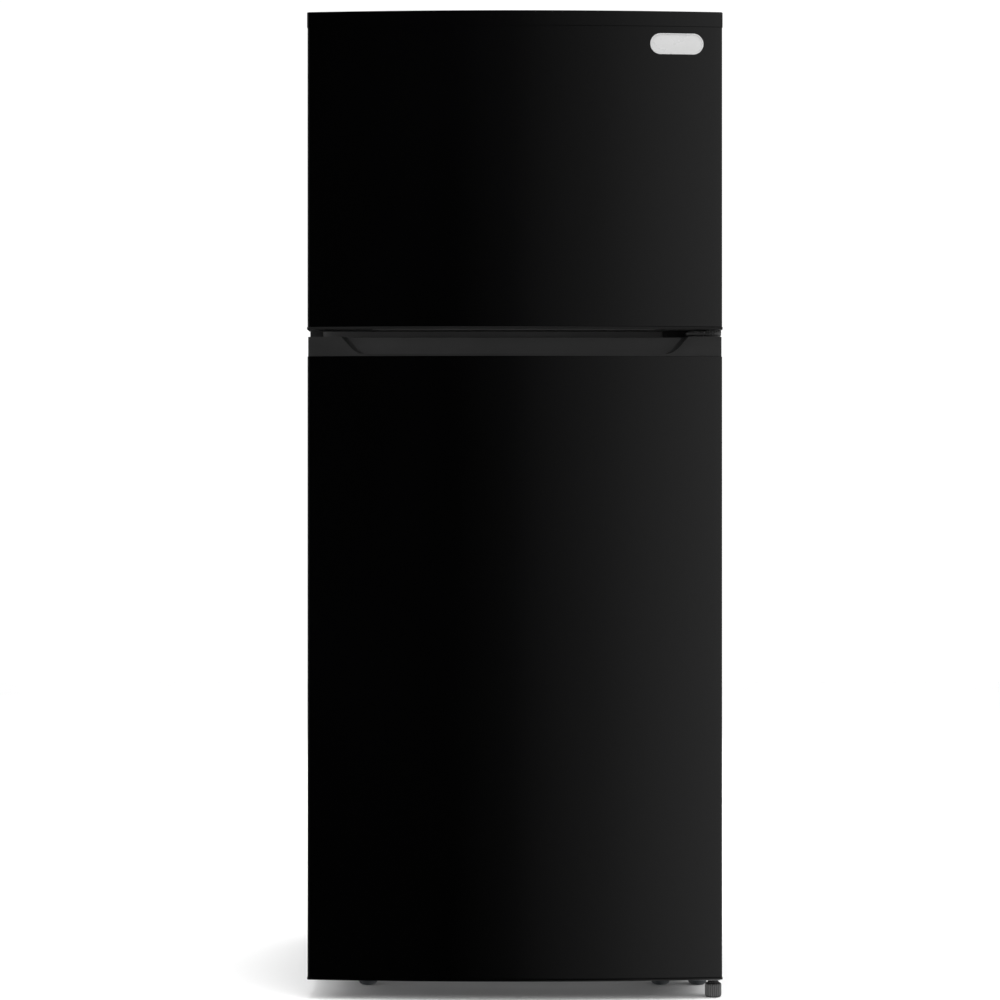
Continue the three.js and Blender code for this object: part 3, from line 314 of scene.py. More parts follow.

# each finish is a material and the name of a slot
finishes = {
    "glossBlack": (makeGlossBlack(), "black_steel"),
    "darkPlastic": (
        makeMoulded("dark_moulded_plastic", grey(0.0075), grey(0.0095), 0.5, 0.66), "dark_plastic",
    ),
    "handlePlastic": (makeHandlePlastic(), "dark_plastic"),
    # painted light: faces set back more than 12 mm behind the bow, under the freezer door's lip, are painted
    # paler than its front, in place of the light the shaded underside does not get
    "lipPlastic": (
        makePaintedLightShade(
            "lip_moulded_plastic", 0.034, 0.0042, lambda s: s.fromAxis(0, bowCentreY), bowRadius - 0.012,
            bowRadius - 0.004, 0.5, 0.66, 900,
        ), "dark_plastic",
    ),
    "mullionGrey": (makeMoulded("mullion_moulding", grey(0.078), grey(0.092), 0.5, 0.66), "dark_plastic"),
    # painted light: the hinge's tail, set back past Y -0.2766 in the shaded gap between the doors, is painted
    # near white in place of the light the gap keeps from it
    "hingeGrey": (
        makePaintedLightShade(
            "grey_hinge_steel", 0.04, 0.7, lambda s: s.along("Y"), -0.2772, -0.2766, 0.4, 0.55, 500,
        ), "galvanised_steel",
    ),
    # painted shade: the bush is near black within 12.8 mm of the hinge axis, darkening the grooves between
    # its ribs
    "bushGrey": (
        makePaintedLightShade(
            "bush_nylon", 0.0005, 0.06, lambda s: s.fromAxis(hingeX, hingeY), 0.0128, 0.0134, 0.5, 0.6, 600,
            0.05,
        ), "grey_plastic",
    ),
    # painted shade: the leg is dark within 12.5 mm of the hinge axis, darkening the grooves between its ribs
    # and the narrower collar and stem
    "legGrey": (
        makePaintedLightShade(
            "leg_nylon", 0.02, 0.125, lambda s: s.fromAxis(hingeX, hingeY), 0.0125, 0.0137, 0.42, 0.6, 500,
            0.4,
        ), "grey_plastic",
    ),
    "paintedSheet": (makePaintedSheet(), "cabinet_steel"),
    "linerWhite": (makeLinerWhite(), "white_plastic"),
    "foam": (makeFoam(), "foam"),
    "seal": (makeSeal(), "seal"),
    "zinc": (makeZinc(), "galvanised_steel"),
    "sheetZinc": (makeZinc("galvanised_sheet", 0.4, 90), "galvanised_steel"),
    "badge": (
        makeMoulded("badge_satin", grey(0.43), grey(0.46), 0.24, 0.36, 1500, 0.00003, 0.12), "badge_metal",
    ),
    "clearPlastic": (
        makeClear("clear_bin_plastic", (0.95, 0.98, 0.995, 1), 0.3, 0.03, 0.08), "clear_plastic",
    ),
    "shelfGlass": (makeClear("shelf_glass", (0.84, 0.96, 0.92, 1), 0.36, 0.0, 0.03), "shelf_glass"),
    "slate": (
        makeRubber("slate_foot_rubber", (0.030, 0.036, 0.040, 1), (0.052, 0.06, 0.065, 1)), "slate_rubber",
    ),
    "greyPlastic": (
        makeMoulded("grey_moulded_plastic", (0.085, 0.09, 0.1, 1), (0.11, 0.115, 0.125, 1), 0.45, 0.62),
        "grey_plastic",
    ),
    "compressorPaint": (
        makeMoulded("compressor_paint", grey(0.008), grey(0.014), 0.28, 0.42, 300, 0.0002),
        "compressor_paint",
    ),
    "aluminium": (
        makeBrushed("drawn_aluminium", grey(0.6), grey(0.74), (14, 1, 1), 0.25, 0.42), "coil_metal",
    ),
    "copper": (
        makeBrushed("copper_tube", (0.62, 0.27, 0.14, 1), (0.75, 0.36, 0.2, 1), (10, 1, 1)), "coil_metal",
    ),
    "wireWhite": (
        makeMoulded("coated_wire_white", grey(0.74), grey(0.8), 0.25, 0.38, 700, 0.00005), "coil_metal",
    ),
    "lampLens": (makeLampLens(), "clear_plastic"),
    "darkGap": (makeRubber("dark_moulding", grey(0.004), grey(0.007)), "dark_plastic"),
}
print("finishes made:", len(finishes))


# Mesh tools

def arcPoints(cx, cy, radius, start, end, steps):
    turn = [start + (end - start) * i / steps for i in range(steps + 1)]
    return [(cx + radius * math.cos(a), cy + radius * math.sin(a)) for a in turn]


def roundedLoop(u0, u1, v0, v1, corner, steps=5):
    r = max(min(corner, (u1 - u0) / 2 - 1e-5, (v1 - v0) / 2 - 1e-5), 2e-5)
    quarter = math.pi / 2
    corners = [(u1 - r, v1 - r, 0), (u0 + r, v1 - r, 1), (u0 + r, v0 + r, 2), (u1 - r, v0 + r, 3)]
    points = []
    for cx, cy, k in corners:
        points += arcPoints(cx, cy, r, k * quarter, (k + 1) * quarter, steps)
    return points


def lift(plane, point, w):
    u, v = point
    return {"xy": (u, v, w), "xz": (u, w, v), "yz": (w, u, v)}[plane]


def smoothPath(points, radius, steps=5):
    # a line through the points with its corners rounded
    points = [Vector(p) for p in points]
    path = [points[0]]
    for before, here, after in zip(points, points[1:], points[2:]):
        a = here + (before - here).normalized() * min(radius, (before - here).length * 0.49)
        b = here + (after - here).normalized() * min(radius, (after - here).length * 0.49)
        for i in range(steps + 1):
            t = i / steps
            path.append(a * (1 - t) ** 2 + here * 2 * t * (1 - t) + b * t ** 2)
    path.append(points[-1])
    return path


class Shape:
    # gathers the mesh of one piece, in metres
    def __init__(self):
        self.bm = bmesh.new()

    def loft(self, loops, capped=True, looped=False):
        rows = [[self.bm.verts.new(p) for p in loop] for loop in loops]
        pairs = list(zip(rows, rows[1:]))
        if looped:
            pairs.append((rows[-1], rows[0]))
        for a, b in pairs:
            for i in range(len(a)):
                j = (i + 1) % len(a)
                self.bm.faces.new((a[i], a[j], b[j], b[i]))
        if capped and not looped:
            self.bm.faces.new(rows[0][::-1])
            self.bm.faces.new(rows[-1])
        return self

    def stack(self, plane, box, corner, profile, looped=False, steps=5):
        # rounded rectangles drawn in from a box by each (inset, level) of the profile
        u0, u1, v0, v1 = box
        loops = []
        for inset, level in profile:
            flat = roundedLoop(u0 + inset, u1 - inset, v0 + inset, v1 - inset, corner - inset, steps)
            loops.append([lift(plane, p, level) for p in flat])
        return self.loft(loops, looped=looped)

    def block(self, low, high, edge=0.001, steps=2):
        made = bmesh.ops.create_cube(self.bm, size=1)["verts"]
        for v in made:
            v.co = Vector([a + (b - a) * (c + 0.5) for a, b, c in zip(low, high, v.co)])
        if edge:
            edges = list(dict.fromkeys(e for v in made for e in v.link_edges))
            bmesh.ops.bevel(
                self.bm, geom=edges, offset=edge, segments=steps, profile=0.5, affect="EDGES",
                clamp_overlap=True,
            )
        return self

    def bothSides(self, near, far, y, z, edge, steps=2):
        # the same block at the left and the right, each from near to far out
        for side in (-1, 1):
            x0, x1 = sorted((side * near, side * far))
            self.block((x0, y[0], z[0]), (x1, y[1], z[1]), edge, steps)

    def turn(self, profile, centre, axis="z", steps=32, ribs=0, ribDepth=0.0):
        # a profile of (radius, height) turned about an axis through the centre
        loops = []
        for radius, height in profile:
            loop = []
            for k in range(steps):
                a = 2 * math.pi * k / steps
                cut = ribDepth * (0.5 - 0.5 * math.cos(ribs * a)) if ribs else 0
                u, v = (radius - cut) * math.cos(a), (radius - cut) * math.sin(a)
                local = {"z": (u, v, height), "x": (height, u, v), "y": (u, height, v)}[axis]
                loop.append([c + d for c, d in zip(centre, local)])
            loops.append(loop)
        return self.loft(loops)

    def tube(self, points, radius, sides=10, closed=False):
        points = [Vector(p) for p in points]
        count = len(points)
        loops = []
        side = None
        for i, p in enumerate(points):
            before = points[i - 1] if i or closed else p
            after = points[(i + 1) % count] if i < count - 1 or closed else p
            along = (after - before).normalized()
            if side is None:
                side = along.orthogonal().normalized()
            side = (side - along * side.dot(along)).normalized()
            up = along.cross(side)
            loops.append([
                p + (side * math.cos(a) + up * math.sin(a)) * radius
                for a in (2 * math.pi * k / sides for k in range(sides))
            ])
        return self.loft(loops, looped=closed)

    def screw(self, place, axis, sign=1, radius=0.0045, head=0.0028):
        # a hexagon head on its own washer
        s = sign
        self.turn(
            [(radius * 1.35, 0), (radius * 1.35, s * 0.0006), (radius * 1.1, s * 0.0010)], place, axis, 20,
        )
        self.turn(
            [(radius, s * 0.0006), (radius, s * (head - 0.0004)), (radius * 0.86, s * head),
              (radius * 0.5, s * head), (radius * 0.42, s * (head - 0.0005))], place, axis, 6,
        )

    def finish(self, name, finish, body, instead=(), sharp=32):
        bm = self.bm
        bmesh.ops.remove_doubles(bm, verts=bm.verts, dist=1e-6)
        bmesh.ops.dissolve_degenerate(bm, edges=bm.edges, dist=1e-6)
        bmesh.ops.recalc_face_normals(bm, faces=bm.faces)
        mesh = bpy.data.meshes.new(name)
        bm.to_mesh(mesh)
        bm.free()
        mesh.shade_smooth()
        mesh.set_sharp_from_angle(angle=math.radians(sharp))
        material, slotName = finishes[finish]
        mesh.materials.append(material)
        piece = bpy.data.objects.new(name, mesh)
        scene.collection.objects.link(piece)
        weighted = piece.modifiers.new("weighted", "WEIGHTED_NORMAL")
        weighted.keep_sharp = True
        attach(piece, body)
        if instead:
            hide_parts(*instead)


def dress(name, finish, edge=0.0006, steps=2, limit=25):
    # a CAD solid that stays, with softened edges and its own finish
    piece = nodes[name]
    piece.data.materials.clear()
    piece.data.materials.append(finishes[finish][0])
    piece.data.shade_smooth()
    piece.data.set_sharp_from_angle(angle=math.radians(limit))
    weld = piece.modifiers.new("weld", "WELD")
    weld.merge_threshold = 1e-5
    flat = piece.modifiers.new("flat", "DECIMATE")
    flat.decimate_type = "DISSOLVE"
    flat.angle_limit = math.radians(0.3)
    if edge:
        bevel = piece.modifiers.new("edge", "BEVEL")
        bevel.width = edge
        bevel.segments = steps
        bevel.limit_method = "ANGLE"
        bevel.angle_limit = math.radians(limit)
        bevel.harden_normals = True


def between(first, last, count):
    return [first + (last - first) * i / (count - 1) for i in range(count)]


# Doors

doorSizes = {
    "edgeRadius": 0.0036, "sheet": 0.0009, "hem": 0.0007, "bowSteps": 56, "edgeSteps": 6,
    "flangeTo": 0.316,
}


def bowY(x, inset=0.0):
    return bowCentreY - math.sqrt((bowRadius - inset) ** 2 - x ** 2)


def planPath(inset, radius):
    # the front and sides of a door seen from above, from its left rear to its right rear
    half = halfWidth - inset
    reach = bowRadius - inset
    tilt = math.asin((half - radius) / (reach - radius))
    cy = bowCentreY - (reach - radius) * math.cos(tilt)
    down = 1.5 * math.pi
    left = arcPoints(radius - half, cy, radius, math.pi, down - tilt, doorSizes["edgeSteps"])
    front = arcPoints(0, bowCentreY, reach, down - tilt, down + tilt, doorSizes["bowSteps"])
    right = arcPoints(half - radius, cy, radius, down + tilt, 2 * math.pi, doorSizes["edgeSteps"])
    return left + front[1:-1] + right


def skinSection(inset, sheet):
    flange = doorSizes["flangeTo"]
    half = halfWidth - inset
    bend = 0.0025
    outer = [(-flange, doorRearY), (bend - half, doorRearY), (-half, doorRearY - bend)]
    outer += planPath(inset, doorSizes["edgeRadius"])
    outer += [(half, doorRearY - bend), (half - bend, doorRearY), (flange, doorRearY)]
    inRear = doorRearY - sheet
    inHalf = half - sheet
    inner = [(-flange, inRear), (bend - inHalf, inRear), (-inHalf, inRear - bend)]
    inner += planPath(inset + sheet, doorSizes["edgeRadius"] - sheet)
    inner += [(inHalf, inRear - bend), (inHalf - bend, inRear), (flange, inRear)]
    return outer + inner[::-1]


def makeSkin(body):
    low, high = boxOf(body + "_skin")
    inset = halfWidth - high.x
    hem = doorSizes["hem"]
    sheet = doorSizes["sheet"]
    levels = [
        (hem * 0.4, low.z), (hem * 0.1, low.z + hem * 0.5), (0, low.z + hem), (0, high.z - hem),
        (hem * 0.1, high.z - hem * 0.5), (hem * 0.4, high.z),
    ]
    loops = []
    for shrink, z in levels:
        section = skinSection(inset + shrink, sheet - 2 * shrink)
        loops.append([(x, y, z) for x, y in section])
    Shape().loft(loops).finish(body + "_skin_sheet", "glossBlack", body, [body + "_skin"], sharp=50)


makeSkin("freezer_door")
makeSkin("fridge_door")


def makeTopCap():
    # the end cap carries the bow up past the skin, with a pocket for the hinge cut from its right rear
    low, high = capLow, capHigh
    floor = shellTop - 0.0006
    notchX = 0.3235
    notchY = low.y + 0.0235
    r = 0.0016
    radius = doorSizes["edgeRadius"]

    def full(inset):
        rear = high.y - inset
        return [(inset - halfWidth, rear)] + planPath(inset, radius) + [(halfWidth - inset, rear)]

    def notched(inset):
        x, y, rear = notchX - inset, notchY - inset, high.y - inset
        pocket = [(halfWidth - inset, y), (x, y), (x, rear)]
        return [(inset - halfWidth, rear)] + planPath(inset, radius) + pocket

    lower = [(0.0003, low.z - 0.0003), (0, low.z), (0, floor)]
    upper = [
        (0, floor), (0, high.z - r), (r * 0.12, high.z - r * 0.5), (r * 0.45, high.z - r * 0.14), (r, high.z),
    ]
    shape = Shape()
    shape.loft([[(x, y, z) for x, y in full(inset)] for inset, z in lower])
    shape.loft([[(x, y, z) for x, y in notched(inset)] for inset, z in upper])
    shape.finish("freezer_top_trim", "glossBlack", "freezer_door", ["freezer_door_top_cap"], sharp=40)


shellTop = boxOf("cabinet_shell")[1].z
makeTopCap()
dress("freezer_door_bottom_cap", "lipPlastic", 0.0008)
dress("fridge_door_handle_cap", "handlePlastic", 0.0011, 3)
dress("fridge_door_bottom_cap", "glossBlack", 0.0006)
dress("freezer_door_insulation", "foam", 0)
dress("fridge_door_insulation", "foam", 0)

badgeSizes = {"halfWidth": 0.045, "rim": 0.0016, "step": 0.0008}


def makeBadge():
    low, high = boxOf("badge")
    middle = (low + high) / 2
    tall = (high.z - low.z) / 2 - 0.0005
    tilt = math.asin(middle.x / bowRadius)
    wide = badgeSizes["halfWidth"]
    rim = badgeSizes["rim"]
    proud = badgeSizes["step"]
    profile = [
        (0.0006, 0), (0, -0.0005), (0, -0.0017), (0.0004, -0.0021), (rim, -0.0021), (rim + 0.0003, -0.0018),
        (rim + 0.0004, -0.0021 + proud), (rim + 0.0016, -0.0021 + proud + 0.00005), (0.009, -0.0016),
        (0.0165, -0.00175),
    ]
    shape = Shape().stack("xz", (-wide, wide, -tall, tall), tall, profile, steps=14)
    turned = Matrix.Rotation(tilt, 4, "Z")
    face = Vector((middle.x, bowY(middle.x, 0.0011), middle.z))
    bmesh.ops.transform(shape.bm, matrix=Matrix.Translation(face) @ turned, verts=shape.bm.verts)
    shape.finish("badge_plate", "badge", "freezer_door", ["badge"], sharp=40)


makeBadge()

gasketProfile = [
    # drawn in from the seal's outer edge, and back from the door
    (0.0030, 0.0000), (0.0190, 0.0000), (0.0190, 0.0016), (0.0166, 0.0024), (0.0176, 0.0040),
    (0.0206, 0.0054), (0.0214, 0.0080), (0.0208, 0.0104), (0.0190, 0.0113), (0.0060, 0.0113),
    (0.0020, 0.0107), (0.0004, 0.0090), (0.0008, 0.0062), (0.0040, 0.0042), (0.0052, 0.0026),
    (0.0030, 0.0016),
]


def makeGasket(body):
    low, high = boxOf(body + "_gasket")
    profile = [(inset, low.y + back) for inset, back in gasketProfile]
    box = (low.x, high.x, low.z, high.z)
    Shape().stack("xz", box, 0.006, profile, looped=True, steps=3).finish(
        body + "_seal", "seal", body, [body + "_gasket"], sharp=60,
    )


makeGasket("freezer_door")
makeGasket("fridge_door")

panelSizes = {"draft": 0.003, "fillet": 0.004, "ridge": 0.016, "rib": 0.0012, "ribPitch": 0.032}


def makeDoorPanel(body, r0, bins):
    low, high = boxOf(body + "_liner")
    front = low.y
    face = front + 0.002
    top = high.y
    fillet = panelSizes["fillet"]
    draft = panelSizes["draft"]
    wide = panelSizes["ridge"]

    def grown(amount):
        return r0[0] - amount, r0[1] + amount, r0[2] - amount, r0[3] + amount

    levels = [
        ((low.x, high.x, low.z, high.z), 0.004, front),
        ((low.x, high.x, low.z, high.z), 0.004, face - 0.0006),
        ((low.x + 0.0006, high.x - 0.0006, low.z + 0.0006, high.z - 0.0006), 0.004, face),
        (grown(fillet), 0.02, face),
        (grown(fillet * 0.3), 0.018, face + fillet * 0.3),
        (grown(0), 0.016, face + fillet),
        (grown(-draft), 0.016, top - 0.005),
        (grown(-draft - 0.0015), 0.015, top - 0.0015),
        (grown(-draft - 0.005), 0.013, top),
        (grown(-wide + 0.005), 0.01, top),
        (grown(-wide + 0.0015), 0.008, top - 0.0015),
        (grown(-wide), 0.007, top - 0.005),
        (grown(-wide), 0.007, face + fillet),
        (grown(-wide - fillet * 0.3), 0.006, face + fillet * 0.3),
        (grown(-wide - fillet), 0.005, face),
    ]
    loops = []
    for box, corner, y in levels:
        loops.append([lift("xz", p, y) for p in roundedLoop(*box, corner)])
    shape = Shape().loft(loops)
    inner = r0[1] - wide
    for name in bins:
        binLow = boxOf(name)[0]
        ends = (inner - 0.0055, inner + 0.001)
        shape.bothSides(*ends, (face + 0.01, face + 0.024), (binLow.z - 0.001, binLow.z + 0.03), 0.0015)
        shape.bothSides(*ends, (face + 0.004, top - 0.006), (binLow.z - 0.006, binLow.z - 0.001), 0.0015)
    z = r0[2] + wide + 0.02
    while z < r0[3] - wide - 0.015:
        shape.block(
            (-inner + 0.04, face - 0.001, z), (inner - 0.04, face + panelSizes["rib"], z + 0.006), 0.0006,
        )
        z += panelSizes["ribPitch"]
    shape.finish(body + "_inner_panel", "linerWhite", body, [body + "_liner"])


doorBins = {
    "freezer_door": ["freezer_door_bin_lower", "freezer_door_bin_upper"],
    "fridge_door": ["fridge_door_bin_lower", "fridge_door_bin_middle", "fridge_door_bin_upper"],
}
doorClear = 0.006
for body, names in doorBins.items():
    # the inside of each food space, which its door's ridge enters
    if body == "fridge_door":
        spaceHalf = boxOf("fridge_shelf_trim_upper")[1].x + 0.002 - doorClear
        spaceTop = boxOf("control_housing")[1].z + 0.0003 - doorClear
    else:
        spaceHalf = boxOf(names[0])[1].x + 0.0163
        spaceTop = boxOf("evaporator_cover")[1].z + 0.0006 - doorClear
    makeDoorPanel(body, (-spaceHalf, spaceHalf, boxOf(names[0])[0].z - 0.0163, spaceTop), names)

binSizes = {"half": 0.2612, "corner": 0.016, "wall": 0.0024, "draft": 0.004, "band": 0.0012}


def makeBin(name, body):
    low, high = boxOf(name)
    half = binSizes["half"]
    wall = binSizes["wall"]
    draft = binSizes["draft"]
    tall = high.z - low.z
    box = (-half, half, low.y, high.y - 0.0015)
    profile = [
        (draft + 0.006, low.z), (draft + 0.002, low.z + 0.0012), (draft, low.z + 0.005),
        (0.0016, high.z - 0.012), (0, high.z - 0.011), (0, high.z - 0.001), (0.0008, high.z),
        (wall, high.z), (wall + 0.0008, high.z - 0.001), (wall + 0.0016, high.z - 0.012),
        (draft + wall, low.z + wall + 0.005), (draft + wall + 0.002, low.z + wall + 0.001),
        (draft + wall + 0.007, low.z + wall),
    ]
    shape = Shape().stack("xy", box, binSizes["corner"], profile, steps=6)
    band = binSizes["band"]
    for share in (0.34, 0.62):
        z = low.z + tall * share
        inset = draft * (1 - share) + 0.0002
        ring = [
            (inset + 0.0006, z - 0.004), (inset - band, z - 0.003), (inset - band, z + 0.003),
            (inset + 0.0006, z + 0.004),
        ]
        shape.stack("xy", box, binSizes["corner"], ring, looped=True, steps=6)
    y = (low.y + high.y) / 2
    for x in between(-half + 0.06, half - 0.06, 7):
        z = low.z + wall
        shape.block((x - 0.001, y - 0.028, z - 0.0004), (x + 0.001, y + 0.028, z + 0.002), 0.0004)
    shape.finish(name + "_tray", "clearPlastic", body, [name])


for body, names in doorBins.items():
    for name in names:
        makeBin(name, body)
print("doors made")


# Cabinet

shellSizes = {"sheet": 0.0009, "bend": 0.005, "flange": 0.022, "hem": 0.006}
shellLow, shellHigh = boxOf("cabinet_shell")


def makeShell():
    low, high = shellLow, shellHigh
    r = shellSizes["bend"]
    t = shellSizes["sheet"]

    def hoop(inset):
        half = high.x - inset
        top = high.z - inset
        right = arcPoints(half - r, top - r, r, 0, math.pi / 2, 6)
        left = arcPoints(r - half, top - r, r, math.pi / 2, math.pi, 6)
        return [(half, low.z)] + right + left + [(-half, low.z)]

    section = hoop(0) + hoop(t)[::-1]
    shape = Shape()
    shape.loft([[(x, y, z) for x, z in section] for y in (low.y, high.y)])
    flange = shellSizes["flange"]
    ring = [
        (0, low.y + t), (0, low.y + 0.0003), (0.0003, low.y), (flange - 0.0003, low.y),
        (flange, low.y + 0.0003), (flange, low.y + t),
    ]
    shape.stack("xz", (low.x, high.x, low.z, high.z), r, ring, looped=True)
    # rolled hems down the back edges
    foot = boxOf("back_panel")[0].z
    shape.bothSides(
        high.x - shellSizes["hem"], high.x, (high.y - 0.0022, high.y - 0.0002), (foot, high.z - r), 0.0007,
    )
    shape.finish("cabinet_wrap", "paintedSheet", "cabinet", ["cabinet_shell"], sharp=40)


makeShell()


def makeBackPanel():
    low, high = boxOf("back_panel")
    shape = Shape()
    inset = 0.0012
    shape.stack(
        "xz", (low.x + inset, high.x - inset, low.z, high.z - inset), 0.004,
        [(0, low.y), (0, high.y - 0.0002), (0.0004, high.y)],
    )
    # stamped stiffening panels
    middle = (low.z + high.z) / 2
    for z0, z1 in ((low.z + 0.06, middle - 0.025), (middle + 0.025, high.z - 0.06)):
        for x0, x1 in ((low.x + 0.05, -0.02), (0.02, high.x - 0.05)):
            shape.stack(
                "xz", (x0, x1, z0, z1), 0.03,
                [(0, high.y - 0.0004), (0.0035, high.y + 0.0014), (0.008, high.y + 0.0018),
                 (0.012, high.y + 0.0014), (0.016, high.y + 0.0002)],
            )
    shape.finish("back_sheet", "paintedSheet", "cabinet", ["back_panel"])


makeBackPanel()

foamSizes = {"gap": 0.0032, "edge": 0.0045}


def makeCabinetFoam():
    # the filling between the sheet and the tubs, as the slabs of one casting
    wall = foamSizes["gap"]
    half = shellHigh.x - 0.0018
    top = shellHigh.z - 0.0018
    front, rear = shellLow.y + 0.0035, boxOf("back_panel")[0].y - 0.0012
    edge = foamSizes["edge"]
    ceiling = boxOf("back_panel")[0].z + 0.003
    low = shellLow.z + 0.0025
    shape = Shape()
    for inner, z0, z1, y1 in (
        (freezerHalf, freezerBottom - 0.02, top, rear), (fridgeHalf, low, freezerBottom, stepY + 0.01),
        (fridgeHalf, ceiling, freezerBottom, rear),
    ):
        shape.bothSides(inner + wall, half, (front, y1), (z0, z1), edge, 3)
    for z0, z1, y0, y1 in (
        (freezerTop + wall, top, front, rear), (fridgeTop + wall, freezerBottom - wall, front, rear),
        (low, fridgeBottom - wall, front, stepY), (low, stepTop - wall, stepY + wall, stepY + 0.035),
        (ceiling, stepTop - wall, stepY + wall, rear),
    ):
        shape.block((-half, y0, z0), (half, y1, z1), edge, 3)
    shape.block((-half, freezerRear + wall, freezerBottom - 0.02), (half, rear, top), edge, 3)
    shape.block((-half, fridgeRear + wall, ceiling), (half, rear, freezerBottom), edge, 3)
    shape.finish("cabinet_foam", "foam", "cabinet", ["cabinet_insulation"])


dress("bottom_panel", "sheetZinc", 0.0003, 1)
dress("mullion_strip", "mullionGrey", 0.0005)

linerSizes = {"skin": 0.002, "lip": 0.006, "corner": 0.03, "fillet": 0.018}


def linerLoops(loopBoxes, corner, flange):
    loops = []
    for box, y in loopBoxes:
        radius = 0.005 if box[1] > flange - 0.001 else corner
        loops.append([lift("xz", p, y) for p in roundedLoop(*box, radius, 6)])
    return loops


def makeLiner(name, half, bottom, top, rear, step=None):
    low, high = boxOf(name)
    skin = linerSizes["skin"]
    lip = linerSizes["lip"]
    fillet = linerSizes["fillet"]
    front = low.y
    flange = (low.x, high.x, low.z, high.z)

    def space(grow):
        return -half - grow, half + grow, bottom - grow, top + grow

    def raised(grow, amount):
        x0, x1, z0, z1 = space(grow)
        return x0, x1, z0 + amount, z1

    outer = []
    inner = []
    if step:
        stepY, stepZ = step
        rise = stepZ - bottom
        for i in range(7):
            a = math.pi / 2 * i / 6
            amount = rise - fillet + fillet * math.sin(a) if i else 0
            back = fillet * 1.2 * (1 - math.cos(a))
            inner.append((raised(0, amount), stepY + back))
            outer.append((raised(skin, amount), stepY + skin + back))
        deepRise = rise
    else:
        deepRise = 0

    def deep(grow):
        return raised(grow, deepRise)

    def shrunk(box, amount):
        x0, x1, z0, z1 = box
        return x0 + amount, x1 - amount, z0 + amount, z1 - amount

    tail = [(shrunk(deep(0), fillet * (1 - math.cos(a))), rear - fillet * (1 - math.sin(a)))
            for a in (math.pi / 2 * i / 5 for i in range(6))]
    loops = [
        (shrunk(deep(skin), fillet * 0.8), rear + skin),
        (shrunk(deep(skin), fillet * 0.2), rear + skin - fillet * 0.4),
        (deep(skin), rear + skin - fillet),
        *outer[::-1],
        (space(skin), front + lip + skin),
        (space(skin), front + skin),
        (flange, front + skin),
        (flange, front + 0.0004),
        (shrunk(flange, 0.0004), front),
        (space(lip * 0.6), front),
        (space(lip * 0.18), front + lip * 0.18),
        (space(0), front + lip * 0.6),
        *inner,
        *tail,
    ]
    return Shape().loft(linerLoops(loops, linerSizes["corner"], high.x))


def addLedge(shape, half, z1, y0, y1):
    ends = (half - 0.0078, half + 0.001)
    shape.bothSides(*ends, (y0, y1), (z1 - 0.0076, z1 - 0.0002), 0.0026, 3)
    shape.bothSides(*ends, (y0, y0 + 0.012), (z1 - 0.0076, z1 + 0.006), 0.0026, 3)


coverLow, coverHigh = boxOf("evaporator_cover")
freezerHalf = coverHigh.x + 0.0006
freezerBottom = coverLow.z - 0.0006
freezerTop = coverHigh.z + 0.0006
freezerRear = boxOf("freezer_liner")[1].y - 0.002
trimLow, trimHigh = boxOf("fridge_shelf_trim_upper")
fridgeHalf = trimHigh.x + 0.002
fridgeTop = boxOf("control_housing")[1].z + 0.0003
fridgeRear = boxOf("fridge_liner")[1].y - 0.002
drawerLow, drawerHigh = boxOf("crisper_drawer_left")
fridgeBottom = drawerLow.z - 0.0015
crisperTrimLow = boxOf("crisper_cover_trim")[0]
stepTop = crisperTrimLow.z - 0.0003
stepY = drawerHigh.y + 0.008

shelfLow, shelfHigh = boxOf("freezer_shelf")
freezerTub = makeLiner("freezer_liner", freezerHalf, freezerBottom, freezerTop, freezerRear)
addLedge(freezerTub, freezerHalf, shelfLow.z - 0.0003, shelfLow.y, shelfHigh.y)
freezerTub.finish("freezer_tub", "linerWhite", "cabinet", ["freezer_liner"])

makeCabinetFoam()

fridgeTub = makeLiner(
    "fridge_liner", fridgeHalf, fridgeBottom, fridgeTop, fridgeRear, (stepY, stepTop),
)
for name in ("lower", "upper"):
    trimBottom = boxOf("fridge_shelf_trim_" + name)[0].z
    addLedge(fridgeTub, fridgeHalf, trimBottom - 0.0003, trimLow.y, trimHigh.y)
addLedge(fridgeTub, fridgeHalf, stepTop, trimLow.y, stepY)
# embossed flutes on the back wall, either side of the air duct
for x in (-0.22, -0.165, -0.11, 0.11, 0.165, 0.22):
    fridgeTub.block(
        (x - 0.012, fridgeRear - 0.003, stepTop + 0.07), (x + 0.012, fridgeRear + 0.001, fridgeTop - 0.07),
        0.0024, 3,
    )
fridgeTub.finish("fridge_tub", "linerWhite", "cabinet", ["fridge_liner"])
print("cabinet made")


# Inside the food spaces

dress("evaporator_cover", "linerWhite", 0.0007)
dress("evaporator_coil", "aluminium", 0.0002, 1)
dress("evaporator_fan_motor", "zinc", 0.0006)
for name in ("upper", "lower"):
    dress("fridge_shelf_trim_" + name, "linerWhite", 0.0018, 3)
    dress("fridge_shelf_glass_" + name, "shelfGlass", 0.0008)
dress("crisper_cover_trim", "linerWhite", 0.0018, 3)
dress("crisper_cover_glass", "shelfGlass", 0.0008)
dress("control_housing", "linerWhite", 0.003, 4)
dress("door_switch_plunger", "greyPlastic", 0.001, 3)
dress("air_duct_cover", "linerWhite", 0.0012, 3)


